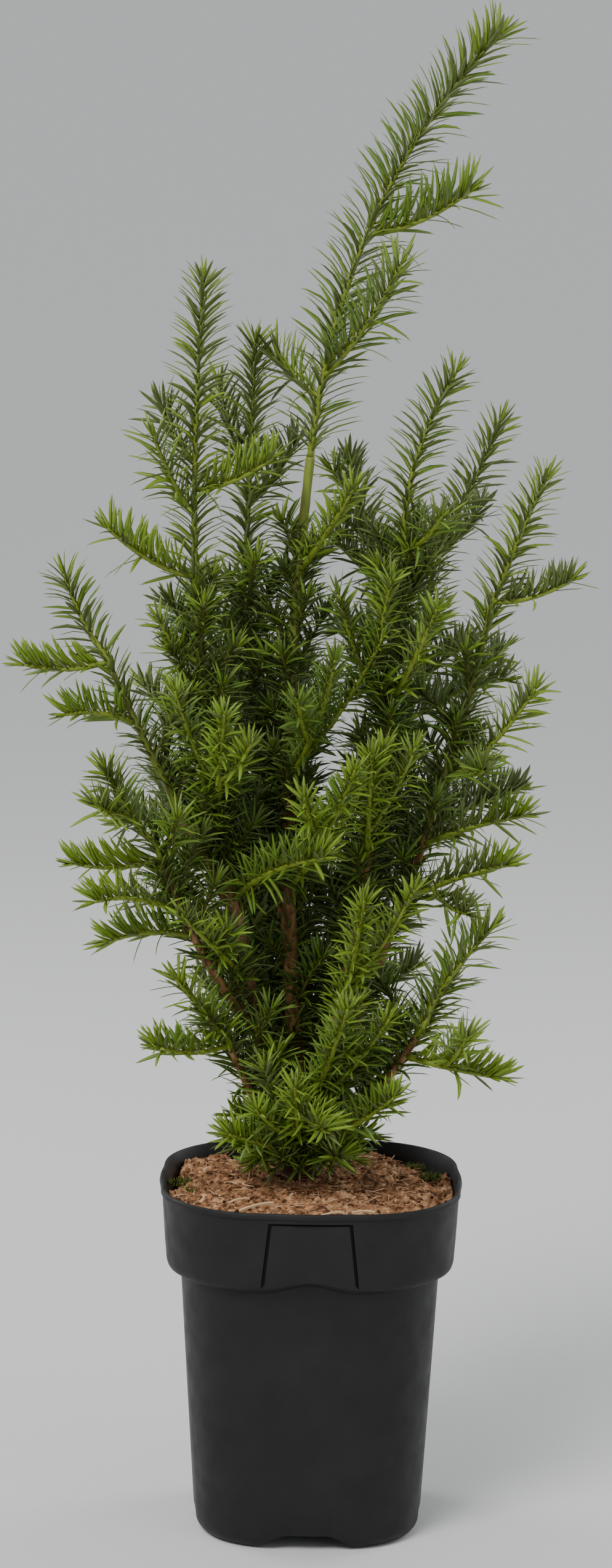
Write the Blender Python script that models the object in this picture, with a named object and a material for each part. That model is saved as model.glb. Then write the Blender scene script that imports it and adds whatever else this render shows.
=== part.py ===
"""Young yew with several stems, growing in a square plastic nursery pot.

Metres, +Z up. The origin is the centre of the pot's flat underside and the
pot's front looks along -Y. The named sizes below are in millimetres, and MM
turns them into metres when a mesh is made.

One object per sub-part: the pot, the soil, the short trunk, twelve tapering
stems, and the masses of foliage, each of them one solid that branches from a
single stem of its own.
"""
import math
import random

import bpy
import bmesh
import numpy as np
from mathutils import Vector
from mathutils import noise
from mathutils.bvhtree import BVHTree

MM = 0.001
GAP = 0.35                      # clear distance between neighbouring solids
UP = Vector((0.0, 0.0, 1.0))

# ------------------------------------------------------------------ pot
POT_HEIGHT = 193.0
RIM_HALF = 82.5                 # half width over the rim's lip
RIM_CORNER = 56.0
LIP_HEIGHT = 4.0
COLLAR_TOP_HALF = 81.3
COLLAR_FOOT_HALF = 79.6
COLLAR_FOOT_Z = 157.0           # where the collar starts to curve under
COLLAR_UNDER_Z = 146.0
COLLAR_LIFT = 4.5               # the collar's lower edge rises to each panel
COLLAR_WALL = 2.9
BODY_TOP_HALF = 71.0
BODY_FOOT_HALF = 62.5
BODY_CORNER = 42.0
EDGE_ROUND = 8.0                # rounding round the pot's foot
WALL = 2.0
INNER_TOP_Z = 186.0             # above this the wall thins to the rim
SIDE_BULGE = 1.5                # the side walls are slightly crowned
FLOOR_TOP = 9.0
ARCH_WIDTH = 55.0
ARCH_HEIGHT = 6.8
ARCH_DEPTH = 34.0
DRAIN_RADIUS = 5.0
PANEL_TOP_Z = 187.5
PANEL_HEIGHT = 36.5
PANEL_TOP_WIDTH = 45.0
PANEL_FOOT_WIDTH = 53.0
PANEL_DEPTH = 1.8
PANEL_SLANT = 2.2               # the panel's side walls slope inwards
CORNER_STEPS = 4
SIDE_STEPS = 3

# ------------------------------------------------------------------ soil
SOIL_EDGE_Z = 186.5
SOIL_TOP_Z = 189.5
SOIL_ROUGHNESS = 1.4
SOIL_PLATEAU = 20.0             # flat patch that the trunk stands on

# ------------------------------------------------------------------ trunk
TRUNK_FOOT = (-6.0, 14.0)
TRUNK_TOP = (-7.0, 8.0)
TRUNK_TOP_Z = 242.0
TRUNK_RADII = ((0.0, 13.5), (0.1, 11.0), (0.26, 9.4), (0.6, 8.4), (1.0, 7.4))
TRUNK_SIDES = 10

# ------------------------------------------------------------------ stems
# name, parent, height where it leaves the parent, a point half way, its tip,
# radius at the foot and at the tip
STEM_SIDES = 6
STEM_STEPS = 8
SEAT_STEP = 0.05                # how finely a limb's seat is sought
SEAT_SEARCH = 40.0
SEAT_STUB = 2.0                 # shortest first stretch of a seated limb
SEAT_SAMPLES = 6
STEMS = (
    ("main_stem", "trunk", None, (-15, 0, 410), (-5, 0, 586), 5.4, 2.4),
    ("left_stem", "trunk", 208, (-48, -16, 372), (-65, -24, 514), 4.6, 1.9),
    ("right_stem", "trunk", 206, (28, -12, 372), (46, -10, 530), 4.4, 1.8),
    ("mid_stem", "main_stem", 340, (-30, 9, 428), (-40, 12, 500), 2.6, 1.6),
    ("right_outer_stem", "right_stem", 262, (62, -4, 392), (91, -6, 502), 3.4, 1.6),
    ("left_bough", "left_stem", 350, (-78, -31, 411), (-109, -36, 477), 2.8, 1.5),
    ("left_low_stem", "left_stem", 276, (-60, -36, 325), (-81, -50, 376), 2.9, 1.6),
    ("low_left_stem", "trunk", 200, (-32, -12, 240), (-44, -30, 271), 2.8, 1.7),
    ("low_right_stem", "trunk", 200, (32, -14, 240), (56, -40, 281), 3.0, 1.7),
    ("back_left_stem", "trunk", 204, (-34, 36, 310), (-50, 62, 402), 3.6, 1.7),
    ("back_right_stem", "trunk", 203, (20, 38, 318), (48, 66, 424), 3.6, 1.7),
    ("back_low_stem", "trunk", 199, (-4, 42, 246), (-6, 66, 300), 3.0, 1.7),
)

# ------------------------------------------------------------------ foliage
# name, stem that carries it, height where it leaves that stem (None: it grows
# on from the stem's tip), bow, then the tips: the first is its own stem's tip,
# each further one is a side twig with its place along that stem
MASSES = (
    ("leader", "main_stem", None, (-16, 2, 12), (86, -8, 803),
     ((0.12, (-24, 20, 636)), (0.16, (41, -30, 690)), (0.47, (76, -30, 728)))),
    ("left_leader", "left_stem", None, (-2, 0, 0), (-62, -20, 680),
     ((0.06, (-110, -54, 553)), (0.26, (-87, -42, 600)), (0.34, (-25, -48, 590)),
      (0.42, (-84, 0, 612)))),
    ("mid_leader", "mid_stem", None, (0, 0, 0), (-35, 16, 645),
     ((0.5, (-55, 42, 620)), (0.4, (-12, 40, 590)))),
    ("right_leader", "right_stem", None, (-9, 0, 0), (71, -10, 632),
     ((0.08, (64, -44, 560)),)),
    ("right_back_leader", "right_stem", 508, (2, 4, -4), (96, 25, 602),
     ((0.3, (88, 48, 556)),)),
    ("right_outer_leader", "right_outer_stem", None, (-2, 0, -2), (120, -8, 577),
     ((0.12, (133, -28, 525)),)),
    ("left_bough_tip", "left_bough", None, (-2, 0, 0), (-134, -30, 525),
     ((0.06, (-153, -50, 480)),)),
    ("left_bough_lower", "left_bough", 447, (0, 0, 3), (-131, -56, 455), ()),
    ("left_low_tip", "left_low_stem", None, (-4, 0, 4), (-110, -60, 426),
     ((0.45, (-114, -84, 412)), (0.02, (-126, -60, 376)))),
    ("left_low_outer", "left_low_stem", 345, (0, -4, 6), (-114, -90, 362), ()),
    ("left_low_under", "left_low_stem", 333, (0, -2, 4), (-108, -56, 334), ()),
    ("low_left_tip", "low_left_stem", None, (3, 0, -2), (-73, -50, 312),
     ((0.05, (-84, -72, 281)),)),
    ("low_left_foot", "trunk", 202, (6, -8, 0), (-44, -54, 229), ()),
    ("low_front", "trunk", 204, (0, -8, -3), (-9, -74, 260),
     ((0.4, (-30, -66, 246)), (0.15, (-16, -38, 212)))),
    ("low_front_right", "trunk", 206, (0, -4, -3), (43, -62, 252), ((0.15, (14, -40, 214)),)),
    ("low_front_upper", "trunk", 218, (0, -6, -3), (18, -80, 304), ((0.3, (40, -60, 294)),)),
    ("low_right_rising", "low_right_stem", None, (-4, 0, 0), (93, -55, 342), ()),
    ("low_right_spreading", "low_right_stem", 268, (0, -4, 0), (98, -62, 264),
     ((0.4, (80, -84, 290)),)),
    ("right_front", "right_stem", 280, (0, -4, -4), (26, -80, 362), ((0.4, (52, -70, 366)),)),
    ("centre_front", "main_stem", 352, (0, -6, -6), (20, -86, 432),
     ((0.5, (-6, -88, 418)), (0.2, (36, -54, 440)))),
    ("centre_upper", "main_stem", 412, (2, -6, -4), (9, -62, 486),
     ((0.4, (-10, -78, 466)), (0.25, (34, -44, 496)))),
    ("centre_high", "main_stem", 525, (0, -2, -2), (18, -38, 574), ()),
    ("right_upper_front", "right_stem", 452, (-2, -4, -4), (11, -48, 518), ((0.35, (38, -46, 528)),)),
    ("right_upper_back", "right_stem", 494, (0, 6, -2), (16, 52, 580), ((0.3, (8, 34, 540)),)),
    ("right_upper_side", "right_stem", 456, (0, -4, -2), (62, -52, 512), ()),
    ("right_middle", "right_stem", 368, (0, -4, -2), (29, -62, 436), ((0.35, (52, -50, 438)),)),
    ("right_side_rising", "right_outer_stem", 412, (2, 0, -4), (115, -35, 468),
     ((0.25, (88, -56, 428)),)),
    ("right_side_middle", "right_outer_stem", 378, (0, -2, 2), (110, -30, 399), ()),
    ("right_side_lower", "right_outer_stem", 346, (0, -3, 3), (101, -50, 376),
     ((0.3, (80, -60, 352)),)),
    ("left_front_star", "left_stem", 400, (0, -4, -4), (-48, -94, 462),
     ((0.4, (-34, -92, 446)), (0.2, (-74, -70, 470)))),
    ("left_front_fan", "left_stem", 348, (-4, -2, 4), (4, -82, 385), ()),
    ("left_side_small", "left_stem", 478, (-2, -2, -2), (-84, -32, 502), ()),
    ("left_front_low", "left_stem", 304, (0, -4, 0), (-68, -80, 352), ()),
    ("inner_left", "main_stem", 330, (2, 10, -2), (-56, 52, 398), ((0.3, (-28, 40, 420)),)),
    ("back_left_top", "back_left_stem", None, (-4, 0, 0), (-64, 60, 512),
     ((0.1, (-96, 82, 450)), (0.35, (-32, 98, 480)))),
    ("back_left_outer", "back_left_stem", 346, (0, 0, 4), (-108, 60, 384), ((0.4, (-88, 92, 396)),)),
    ("back_left_inner", "back_left_stem", 292, (0, 6, 0), (-50, 116, 362), ()),
    ("back_right_top", "back_right_stem", None, (4, 0, 0), (62, 60, 536),
     ((0.1, (102, 80, 472)), (0.35, (32, 102, 500)))),
    ("back_right_outer", "back_right_stem", 356, (0, 0, 4), (112, 56, 398), ((0.4, (92, 92, 408)),)),
    ("back_right_inner", "back_right_stem", 304, (0, 6, 0), (46, 118, 376), ()),
    ("back_low_centre", "back_low_stem", None, (0, 4, 0), (-8, 112, 340), ((0.3, (-44, 102, 330)),)),
    ("back_low_left", "back_low_stem", 250, (0, 2, 2), (-62, 72, 284), ()),
    ("back_low_right", "back_low_stem", 254, (0, 2, 2), (56, 78, 292), ()),
    ("back_centre", "main_stem", 380, (0, 6, -2), (-6, 92, 462), ((0.5, (-34, 84, 440)),)),
)

# The masses that carry side sprigs; the others are single feathered shoots.
SPRIGGED = (
    "low_front", "low_front_upper", "inner_left", "right_upper_back", "back_left_top",
    "back_left_outer", "back_left_inner", "back_right_top", "back_right_outer",
    "back_right_inner", "back_low_centre", "back_low_left", "back_low_right", "back_centre",
)

CORE_FOOT = 2.2                 # radius of a mass's own stem, and of its tip
CORE_TIP = 1.2
TWIG_FOOT = 1.8
NEEDLE_LENGTH = 26.0
NEEDLE_PITCH = 9.0
NEEDLE_LEAN = 47.0              # degrees between a needle and its twig
NEEDLE_LEAN_TIP = 24.0
NEEDLE_TWIST = 37.0             # each whorl is turned on from the last, degrees
NEEDLE_LIFT = 0.12              # needles and sprigs turn up a little
NEEDLE_SPANS = ((0.0, 0.3, 0.75), (0.3, 0.65, 0.55), (0.65, 1.0, 0.3))
LOWEST_NEEDLE_Z = 194.5         # clear of the soil and the pot's rim
TIP_NEEDLE = 0.5                # length of the bud needle, in needle lengths
BARE_FOOT = 5.0                 # a twig's first stretch carries no needles
SPRIG_LENGTH = 34.0             # short seeded side sprigs
SPRIG_SPACING = 42.0
SPRIG_ANGLE = 52.0
SPRIG_LIFT = 0.15
SPRIG_FOOT = 1.5
SPRIG_TIP = 1.1
SPRIG_ROOM = 3.0                # clear distance that a sprig needs
SPRIG_SPREAD = (0.8, 1.15)      # shortest and longest sprig, in sprig lengths
NEEDLE_SPREAD = (0.85, 1.05)    # shortest and longest needle, in needle lengths
NEEDLE_TRIALS = (1.0, 0.75, 0.55)
GOLDEN_TURN = math.radians(137.5)
TWIG_SAG = 0.07                 # sag of a side twig, in lengths


# ------------------------------------------------------------------ helpers
def clear_scene():
    for old in list(bpy.data.objects):
        bpy.data.objects.remove(old, do_unlink=True)


def material(name, colour, roughness):
    made = bpy.data.materials.new(name)
    made.use_nodes = True
    shader = made.node_tree.nodes["Principled BSDF"]
    shader.inputs["Base Color"].default_value = (*colour, 1.0)
    shader.inputs["Roughness"].default_value = roughness
    made.diffuse_color = (*colour, 1.0)
    return made


def new_object(name, points, faces, finish):
    """One object from millimetre points and faces whose sides point out."""
    mesh = bpy.data.meshes.new(name)
    mesh.from_pydata([tuple(Vector(p) * MM) for p in points], [], faces)
    mesh.materials.append(finish)
    made = bpy.data.objects.new(name, mesh)
    bpy.context.scene.collection.objects.link(made)
    tidy = bmesh.new()
    tidy.from_mesh(mesh)
    bmesh.ops.recalc_face_normals(tidy, faces=tidy.faces)
    tidy.to_mesh(mesh)
    tidy.free()
    return made


def loft(rings, closed_ends=True):
    """Points and faces of a skin through rings of equal length."""
    count = len(rings[0])
    points = [p for ring in rings for p in ring]
    faces = []
    for level in range(len(rings) - 1):
        low = level * count
        for i in range(count):
            j = (i + 1) % count
            faces.append((low + i, low + j, low + count + j, low + count + i))
    if closed_ends:
        faces.append(tuple(reversed(range(count))))
        last = (len(rings) - 1) * count
        faces.append(tuple(range(last, last + count)))
    return points, faces


def cut(target, cutter):
    """Take the cutter's shape out of the target."""
    cutter.hide_render = True
    cutter.display_type = 'WIRE'
    change = target.modifiers.new("cut_" + cutter.name, 'BOOLEAN')
    change.operation = 'DIFFERENCE'
    change.object = cutter


def curve_through(foot, middle, tip, steps):
    """Points of the quadratic curve that passes the middle half way."""
    foot, middle, tip = Vector(foot), Vector(middle), Vector(tip)
    pull = middle * 2 - (foot + tip) / 2
    line = []
    for i in range(steps + 1):
        t = i / steps
        line.append(foot * (1 - t) ** 2 + pull * 2 * t * (1 - t) + tip * t * t)
    return line


def length_of(line):
    return sum((b - a).length for a, b in zip(line, line[1:]))


def directions(line):
    """Smoothed direction of travel at each point of a line."""
    steps = [(b - a).normalized() for a, b in zip(line, line[1:])]
    inner = [(a + b).normalized() for a, b in zip(steps, steps[1:])]
    return [steps[0]] + inner + [steps[-1]]


def frames(line):
    """Direction and two cross axes at each point, carried along without twist."""
    heading = directions(line)
    side = heading[0].orthogonal().normalized()
    rows = []
    for way in heading:
        side = (side - way * side.dot(way)).normalized()
        rows.append((way, side, way.cross(side)))
    return rows


# ------------------------------------------------------------------ pot and soil
def square_ring(half, corner, z, lift=0.0):
    """A rounded square with crowned sides; lift raises the middle of each side."""
    ring = []
    reach = half - corner
    for quarter in range(4):
        turn = math.radians(90 * quarter)
        cos_turn, sin_turn = math.cos(turn), math.sin(turn)
        local = []
        for i in range(1, SIDE_STEPS):
            across = -reach + 2 * reach * i / SIDE_STEPS
            crown = SIDE_BULGE * math.cos(math.pi / 2 * across / reach) ** 2
            raised = lift * math.cos(math.pi / 2 * across / reach) ** 2
            local.append((half - SIDE_BULGE + crown, across, raised))
        for i in range(CORNER_STEPS + 1):
            angle = math.radians(90 * i / CORNER_STEPS)
            along_x = reach + corner * math.cos(angle) - SIDE_BULGE
            along_y = reach + corner * math.sin(angle) - SIDE_BULGE
            local.append((along_x, along_y, 0.0))
        for out, across, raised in local:
            x = out * cos_turn - across * sin_turn
            y = out * sin_turn + across * cos_turn
            ring.append((x, y, z + raised))
    return ring


def make_pot(plastic):
    rings = []
    for lift, inset in ((0.0, EDGE_ROUND), (2.4, 2.4), (EDGE_ROUND, 0.0)):
        rings.append(square_ring(BODY_FOOT_HALF - inset, BODY_CORNER - inset, lift))
    rings.append(square_ring(BODY_TOP_HALF, BODY_CORNER + 4, COLLAR_UNDER_Z, COLLAR_LIFT))
    rings.append(square_ring(COLLAR_FOOT_HALF - 2.6, RIM_CORNER - 4, COLLAR_UNDER_Z + 3.5, COLLAR_LIFT))
    rings.append(square_ring(COLLAR_FOOT_HALF, RIM_CORNER - 1, COLLAR_FOOT_Z, COLLAR_LIFT))
    rings.append(square_ring(COLLAR_TOP_HALF, RIM_CORNER, POT_HEIGHT - LIP_HEIGHT))
    rings.append(square_ring(RIM_HALF, RIM_CORNER, POT_HEIGHT - LIP_HEIGHT + 1.2))
    rings.append(square_ring(RIM_HALF - 0.4, RIM_CORNER, POT_HEIGHT))
    rings.append(square_ring(RIM_HALF - WALL - 0.4, RIM_CORNER - WALL, POT_HEIGHT))
    rings.append(square_ring(COLLAR_TOP_HALF - COLLAR_WALL, RIM_CORNER - COLLAR_WALL, INNER_TOP_Z))
    rings.append(square_ring(COLLAR_FOOT_HALF - COLLAR_WALL, RIM_CORNER - COLLAR_WALL, COLLAR_FOOT_Z))
    rings.append(square_ring(BODY_TOP_HALF - WALL, BODY_CORNER + 4 - WALL, COLLAR_UNDER_Z + 5))
    rings.append(square_ring(BODY_FOOT_HALF - WALL, BODY_CORNER - WALL, FLOOR_TOP + 4))
    rings.append(square_ring(BODY_FOOT_HALF - WALL - 3, BODY_CORNER - WALL - 3, FLOOR_TOP))
    pot = new_object("pot", *loft(rings), plastic)
    for side in range(4):
        turn = math.radians(90 * side)
        cut(pot, arch_cutter("arch_cutter_%d" % side, turn))
        cut(pot, drain_cutter("drain_cutter_%d" % side, turn))
    for side, turn in (("front", 0.0), ("back", math.pi)):
        cut(pot, panel_cutter("panel_cutter_" + side, turn))
    return pot


def turned(points, turn):
    """Points given for the front side, turned round the pot's axis."""
    cos_turn, sin_turn = math.cos(turn), math.sin(turn)
    return [(x * cos_turn - y * sin_turn, x * sin_turn + y * cos_turn, z) for x, y, z in points]


def arch_cutter(name, turn):
    """The low arch between two feet, running in under the pot."""
    outline = []
    for i in range(9):
        angle = math.pi * i / 8
        outline.append((math.cos(angle) * ARCH_WIDTH / 2, math.sin(angle) * ARCH_HEIGHT))
    outline += [(-ARCH_WIDTH / 2, -3.0), (ARCH_WIDTH / 2, -3.0)]
    outer = turned([(x, -BODY_FOOT_HALF - 6, z) for x, z in outline], turn)
    inner = turned([(x * 0.7, -BODY_FOOT_HALF + ARCH_DEPTH, z) for x, z in outline], turn)
    return new_object(name, *loft([outer, inner]), None)


def drain_cutter(name, turn):
    centre_y = -BODY_FOOT_HALF + ARCH_DEPTH - 10
    rings = []
    for z in (2.0, FLOOR_TOP + 6):
        ring = []
        for i in range(8):
            angle = math.tau * (i + 0.5) / 8
            ring.append((DRAIN_RADIUS * math.cos(angle), centre_y + DRAIN_RADIUS * math.sin(angle), z))
        rings.append(turned(ring, turn))
    return new_object(name, *loft(rings), None)


def panel_cutter(name, turn):
    """The shallow trapezoid field in the collar, with sloping side walls."""
    foot_z = COLLAR_UNDER_Z - 2.0
    slope = (COLLAR_TOP_HALF - COLLAR_FOOT_HALF) / (POT_HEIGHT - LIP_HEIGHT - COLLAR_FOOT_Z)
    widen = (PANEL_FOOT_WIDTH - PANEL_TOP_WIDTH) / PANEL_HEIGHT
    foot_width = PANEL_TOP_WIDTH + widen * (PANEL_TOP_Z - foot_z)
    rings = []
    for out, spread in ((3.0, PANEL_SLANT * 2), (-PANEL_DEPTH, -PANEL_SLANT)):
        ring = []
        for x, z in ((-foot_width / 2 - spread, foot_z), (foot_width / 2 + spread, foot_z),
                     (PANEL_TOP_WIDTH / 2 + spread, PANEL_TOP_Z + spread / 2),
                     (-PANEL_TOP_WIDTH / 2 - spread, PANEL_TOP_Z + spread / 2)):
            wall = COLLAR_FOOT_HALF + slope * (z - COLLAR_FOOT_Z)
            ring.append((x, -wall - out, z))
        rings.append(turned(ring, turn))
    return new_object(name, *loft(rings), None)


def make_soil(earth):
    """Fills the pot; its top is rough and highest round the trunk."""
    side = COLLAR_FOOT_HALF - COLLAR_WALL - GAP
    rings = [
        square_ring(BODY_FOOT_HALF - WALL - 3 - GAP, BODY_CORNER - WALL - 3, FLOOR_TOP + GAP),
        square_ring(BODY_FOOT_HALF - WALL - GAP, BODY_CORNER - WALL, FLOOR_TOP + 4 + GAP),
        square_ring(BODY_TOP_HALF - WALL - GAP, BODY_CORNER + 4 - WALL, COLLAR_UNDER_Z + 5 + GAP),
        square_ring(side, RIM_CORNER - COLLAR_WALL, COLLAR_FOOT_Z + 2 * GAP),
        square_ring(side + 1.2, RIM_CORNER - COLLAR_WALL, SOIL_EDGE_Z - 1.5),
    ]
    for share in (0.88, 0.55):
        ring = []
        for x, y, _ in square_ring(side * share, RIM_CORNER * share, 0.0):
            rise = SOIL_EDGE_Z + (SOIL_TOP_Z - SOIL_EDGE_Z) * (1 - share) * 1.7
            rough = noise.noise(Vector((x, y, 7.0)) * 0.09) * SOIL_ROUGHNESS
            ring.append((x, y, rise + rough))
        rings.append(ring)
    plateau = []
    for x, y, _ in rings[-1]:
        angle = math.atan2(y, x)
        plateau.append((TRUNK_FOOT[0] + SOIL_PLATEAU * math.cos(angle),
                        TRUNK_FOOT[1] + SOIL_PLATEAU * math.sin(angle), SOIL_TOP_Z))
    rings.append(plateau)
    return new_object("soil", *loft(rings), earth)


# ------------------------------------------------------------------ space kept by each solid
class Space:
    """Capsules of every solid, to keep the solids clear of each other."""

    def __init__(self):
        self.starts = []
        self.ends = []
        self.radii = []
        self.owners = []
        self.packed = None

    def add(self, owner, start, end, radius):
        self.starts.append(tuple(start))
        self.ends.append(tuple(end))
        self.radii.append(radius)
        self.owners.append(owner)
        self.packed = None

    def add_line(self, owner, line, radii):
        for i in range(len(line) - 1):
            self.add(owner, line[i], line[i + 1], max(radii[i], radii[i + 1]))

    def room(self, start, end, radius, ignore=()):
        """Least clear distance from a capsule to all but the ignored twigs."""
        if self.packed is None:
            self.packed = (np.array(self.starts), np.array(self.ends),
                           np.array(self.radii), np.array(self.owners))
        starts, ends, radii, owners = self.packed
        others = ~np.isin(owners, ignore)
        if not others.any():
            return math.inf
        gaps = segment_distances(start, end, starts[others], ends[others])
        return float((gaps - radii[others]).min()) - radius


def segment_distances(start, end, starts, ends):
    """Distance from one segment to each of many."""
    origin = np.array(start, float)
    way = np.array(end, float) - origin
    ways = ends - starts
    offset = origin - starts
    a = max(float(way @ way), 1e-12)
    e = np.maximum((ways * ways).sum(1), 1e-12)
    b = ways @ way
    c = offset @ way
    f = (ways * offset).sum(1)
    below = a * e - b * b
    s = np.where(below > 1e-9, np.clip((b * f - c * e) / np.maximum(below, 1e-9), 0, 1), 0)
    t = (b * s + f) / e
    t = np.clip(t, 0, 1)
    s = np.clip((b * t - c) / a, 0, 1)
    near = origin + s[:, None] * way
    far = starts + t[:, None] * ways
    return np.sqrt(((near - far) ** 2).sum(1))


# ------------------------------------------------------------------ trunk and stems
def rim_points(centre, side, across, radius, sides):
    ring = []
    for i in range(sides):
        angle = math.tau * i / sides
        ring.append(centre + (side * math.cos(angle) + across * math.sin(angle)) * radius)
    return ring


def tube(line, radii, sides):
    """Rings of a tapering limb with flat ends."""
    rings = []
    for point, radius, (_, side, across) in zip(line, radii, frames(line)):
        rings.append(rim_points(point, side, across, radius, sides))
    return rings


def point_at_height(line, z):
    for low, high in zip(line, line[1:]):
        if low.z <= z <= high.z:
            share = (z - low.z) / (high.z - low.z)
            return low.lerp(high, share)
    return line[-1].copy()


class Limb:
    """The trunk or a stem: its line, its radii and its surface."""

    def __init__(self, line, radii, shape):
        self.line = line
        self.radii = radii
        self.surface = BVHTree.FromPolygons([tuple(p) for p in shape[0]], shape[1])


def edge_samples(ring):
    """Points along the edges of a ring."""
    samples = []
    for a, b in zip(ring, ring[1:] + ring[:1]):
        samples += [a.lerp(b, i / SEAT_SAMPLES) for i in range(SEAT_SAMPLES)]
    return samples


def seated(line, first_ring, carrier):
    """The line cut off where its first ring lies just clear of the carrier."""
    fine = []
    for low, high in zip(line, line[1:]):
        steps = max(1, int((high - low).length / SEAT_STEP))
        fine += [low.lerp(high, i / steps) for i in range(steps)]
    best = None
    reach = min(SEAT_SEARCH, length_of(line) / 2)
    for point in reversed(fine[:int(reach / SEAT_STEP)]):
        trimmed = [point] + [p for p in line if (p - line[0]).length > (point - line[0]).length + SEAT_STUB]
        ring = first_ring(trimmed)
        gap = min(carrier.surface.find_nearest(p)[3] for p in edge_samples(ring))
        if gap < GAP:
            break
        best = trimmed
    if best is None:
        raise ValueError("the limb never comes clear of its carrier")
    return best


def make_trunk(bark, space):
    foot = Vector((*TRUNK_FOOT, SOIL_TOP_Z + GAP))
    top = Vector((*TRUNK_TOP, TRUNK_TOP_Z))
    line = [foot.lerp(top, share) for share, _ in TRUNK_RADII]
    radii = [radius for _, radius in TRUNK_RADII]
    rings = []
    for point, radius in zip(line, radii):
        rings.append(rim_points(point, Vector((1, 0, 0)), Vector((0, 1, 0)), radius, TRUNK_SIDES))
    space.add_line("trunk", line, radii)
    shape = loft(rings)
    new_object("trunk", *shape, bark)
    return Limb(line, radii, shape)


def side_foot(carrier, height, towards):
    """The point on the carrier's side, at a height, that faces a place."""
    centre = point_at_height(carrier.line, height)
    outward = Vector(towards) - centre
    outward.z = 0.0
    nearest = min(range(len(carrier.line)), key=lambda i: abs(carrier.line[i].z - height))
    return centre + outward.normalized() * carrier.radii[nearest]


def stem_ring(line, radius):
    _, side, across = frames(line)[0]
    return rim_points(line[0], side, across, radius, STEM_SIDES)


def make_stem(row, limbs, space, bark):
    name, parent, height, middle, tip, foot_radius, tip_radius = row
    carrier = limbs[parent]
    if height is None:
        foot = carrier.line[-1] + UP * GAP
        line = curve_through(foot, middle, tip, STEM_STEPS)
        line.insert(1, foot + UP * 3.0)
    else:
        foot = side_foot(carrier, height, middle)
        line = curve_through(foot, middle, tip, STEM_STEPS)
        line = seated(line, lambda path: stem_ring(path, foot_radius), carrier)
    last = len(line) - 1
    radii = [foot_radius + (tip_radius - foot_radius) * i / last for i in range(last + 1)]
    shape = loft(tube(line, radii, STEM_SIDES))
    new_object(name, *shape, bark)
    space.add_line(name, line, radii)
    limbs[name] = Limb(line, radii, shape)


# ------------------------------------------------------------------ foliage
class Twig:
    """A twig of a mass: its label, line, radii and mother twig's label."""

    def __init__(self, label, line, foot_radius, tip_radius, mother=""):
        self.label = label
        self.phase = random.Random(label).uniform(0, math.tau)
        self.line = line
        last = len(line) - 1
        self.radii = [foot_radius + (tip_radius - foot_radius) * i / last for i in range(last + 1)]
        self.mother = mother


def core_ring(twig, index):
    """Three-sided ring at a point of the twig, turned on from the last one."""
    way, side, across = frames(twig.line)[index]
    turn = twig.phase + math.radians(NEEDLE_TWIST) * index
    spun = side * math.cos(turn) + across * math.sin(turn)
    return rim_points(twig.line[index], spun, way.cross(spun), twig.radii[index], 3)


def twig_line(foot, tip, bow):
    steps = max(2, round((Vector(tip) - Vector(foot)).length / NEEDLE_PITCH))
    middle = (Vector(foot) + Vector(tip)) / 2 + Vector(bow)
    return curve_through(foot, middle, tip, steps)


def along(line, share):
    place = share * (len(line) - 1)
    index = min(int(place), len(line) - 2)
    return line[index].lerp(line[index + 1], place - index)


def mass_twigs(row, limbs, space):
    """The stem of a mass, seated just clear of its limb, then its side twigs."""
    name, carrier_name, height, bow, tip, sides = row
    carrier = limbs[carrier_name]
    if height is None:
        heading = directions(carrier.line)[-1]
        foot = carrier.line[-1] + heading * GAP
        line = twig_line(foot, tip, bow)
        line[1] = foot + heading * (line[1] - foot).length
    else:
        foot = point_at_height(carrier.line, height)
        line = seated(twig_line(foot, tip, bow),
                      lambda path: core_ring(Twig(name, path, CORE_FOOT, CORE_TIP), 0),
                      carrier)
    stem = Twig(name, line, CORE_FOOT, CORE_TIP)
    twigs = [stem]
    space.add_line(stem.label, stem.line, stem.radii)
    for share, side_tip in sides:
        foot = along(stem.line, share)
        sag = UP * (-TWIG_SAG * (Vector(side_tip) - foot).length)
        label = "%s_%d" % (name, len(twigs))
        twig = Twig(label, twig_line(foot, side_tip, sag), TWIG_FOOT, CORE_TIP, stem.label)
        twigs.append(twig)
        space.add_line(twig.label, twig.line, twig.radii)
    return twigs


def line_room(twig, space):
    """Least clear distance round a twig, its mother twig left out."""
    line, radii = twig.line, twig.radii
    return min(space.room(line[i], line[i + 1], max(radii[i], radii[i + 1]), (twig.mother,))
               for i in range(len(line) - 1))


def add_sprigs(name, twigs, space):
    """Short side sprigs by a seeded rule, skipped where there is no room."""
    draw = random.Random(name)
    for twig in list(twigs):
        count = int(length_of(twig.line) / SPRIG_SPACING)
        turn = draw.uniform(0, math.tau)
        for i in range(count):
            share = (i + 0.7) / (count + 0.6)
            turn += GOLDEN_TURN
            way, side, across = frames(twig.line)[int(share * (len(twig.line) - 1))]
            out = side * math.cos(turn) + across * math.sin(turn)
            angle = math.radians(SPRIG_ANGLE)
            aim = way * math.cos(angle) + out * math.sin(angle) + UP * SPRIG_LIFT
            foot = along(twig.line, share)
            tip = foot + aim.normalized() * SPRIG_LENGTH * draw.uniform(*SPRIG_SPREAD)
            label = "%s_%d" % (name, len(twigs))
            line = twig_line(foot, tip, (0, 0, 0))
            sprig = Twig(label, line, SPRIG_FOOT, SPRIG_TIP, twig.label)
            if line_room(sprig, space) > SPRIG_ROOM:
                twigs.append(sprig)
                space.add_line(sprig.label, sprig.line, sprig.radii)


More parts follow.
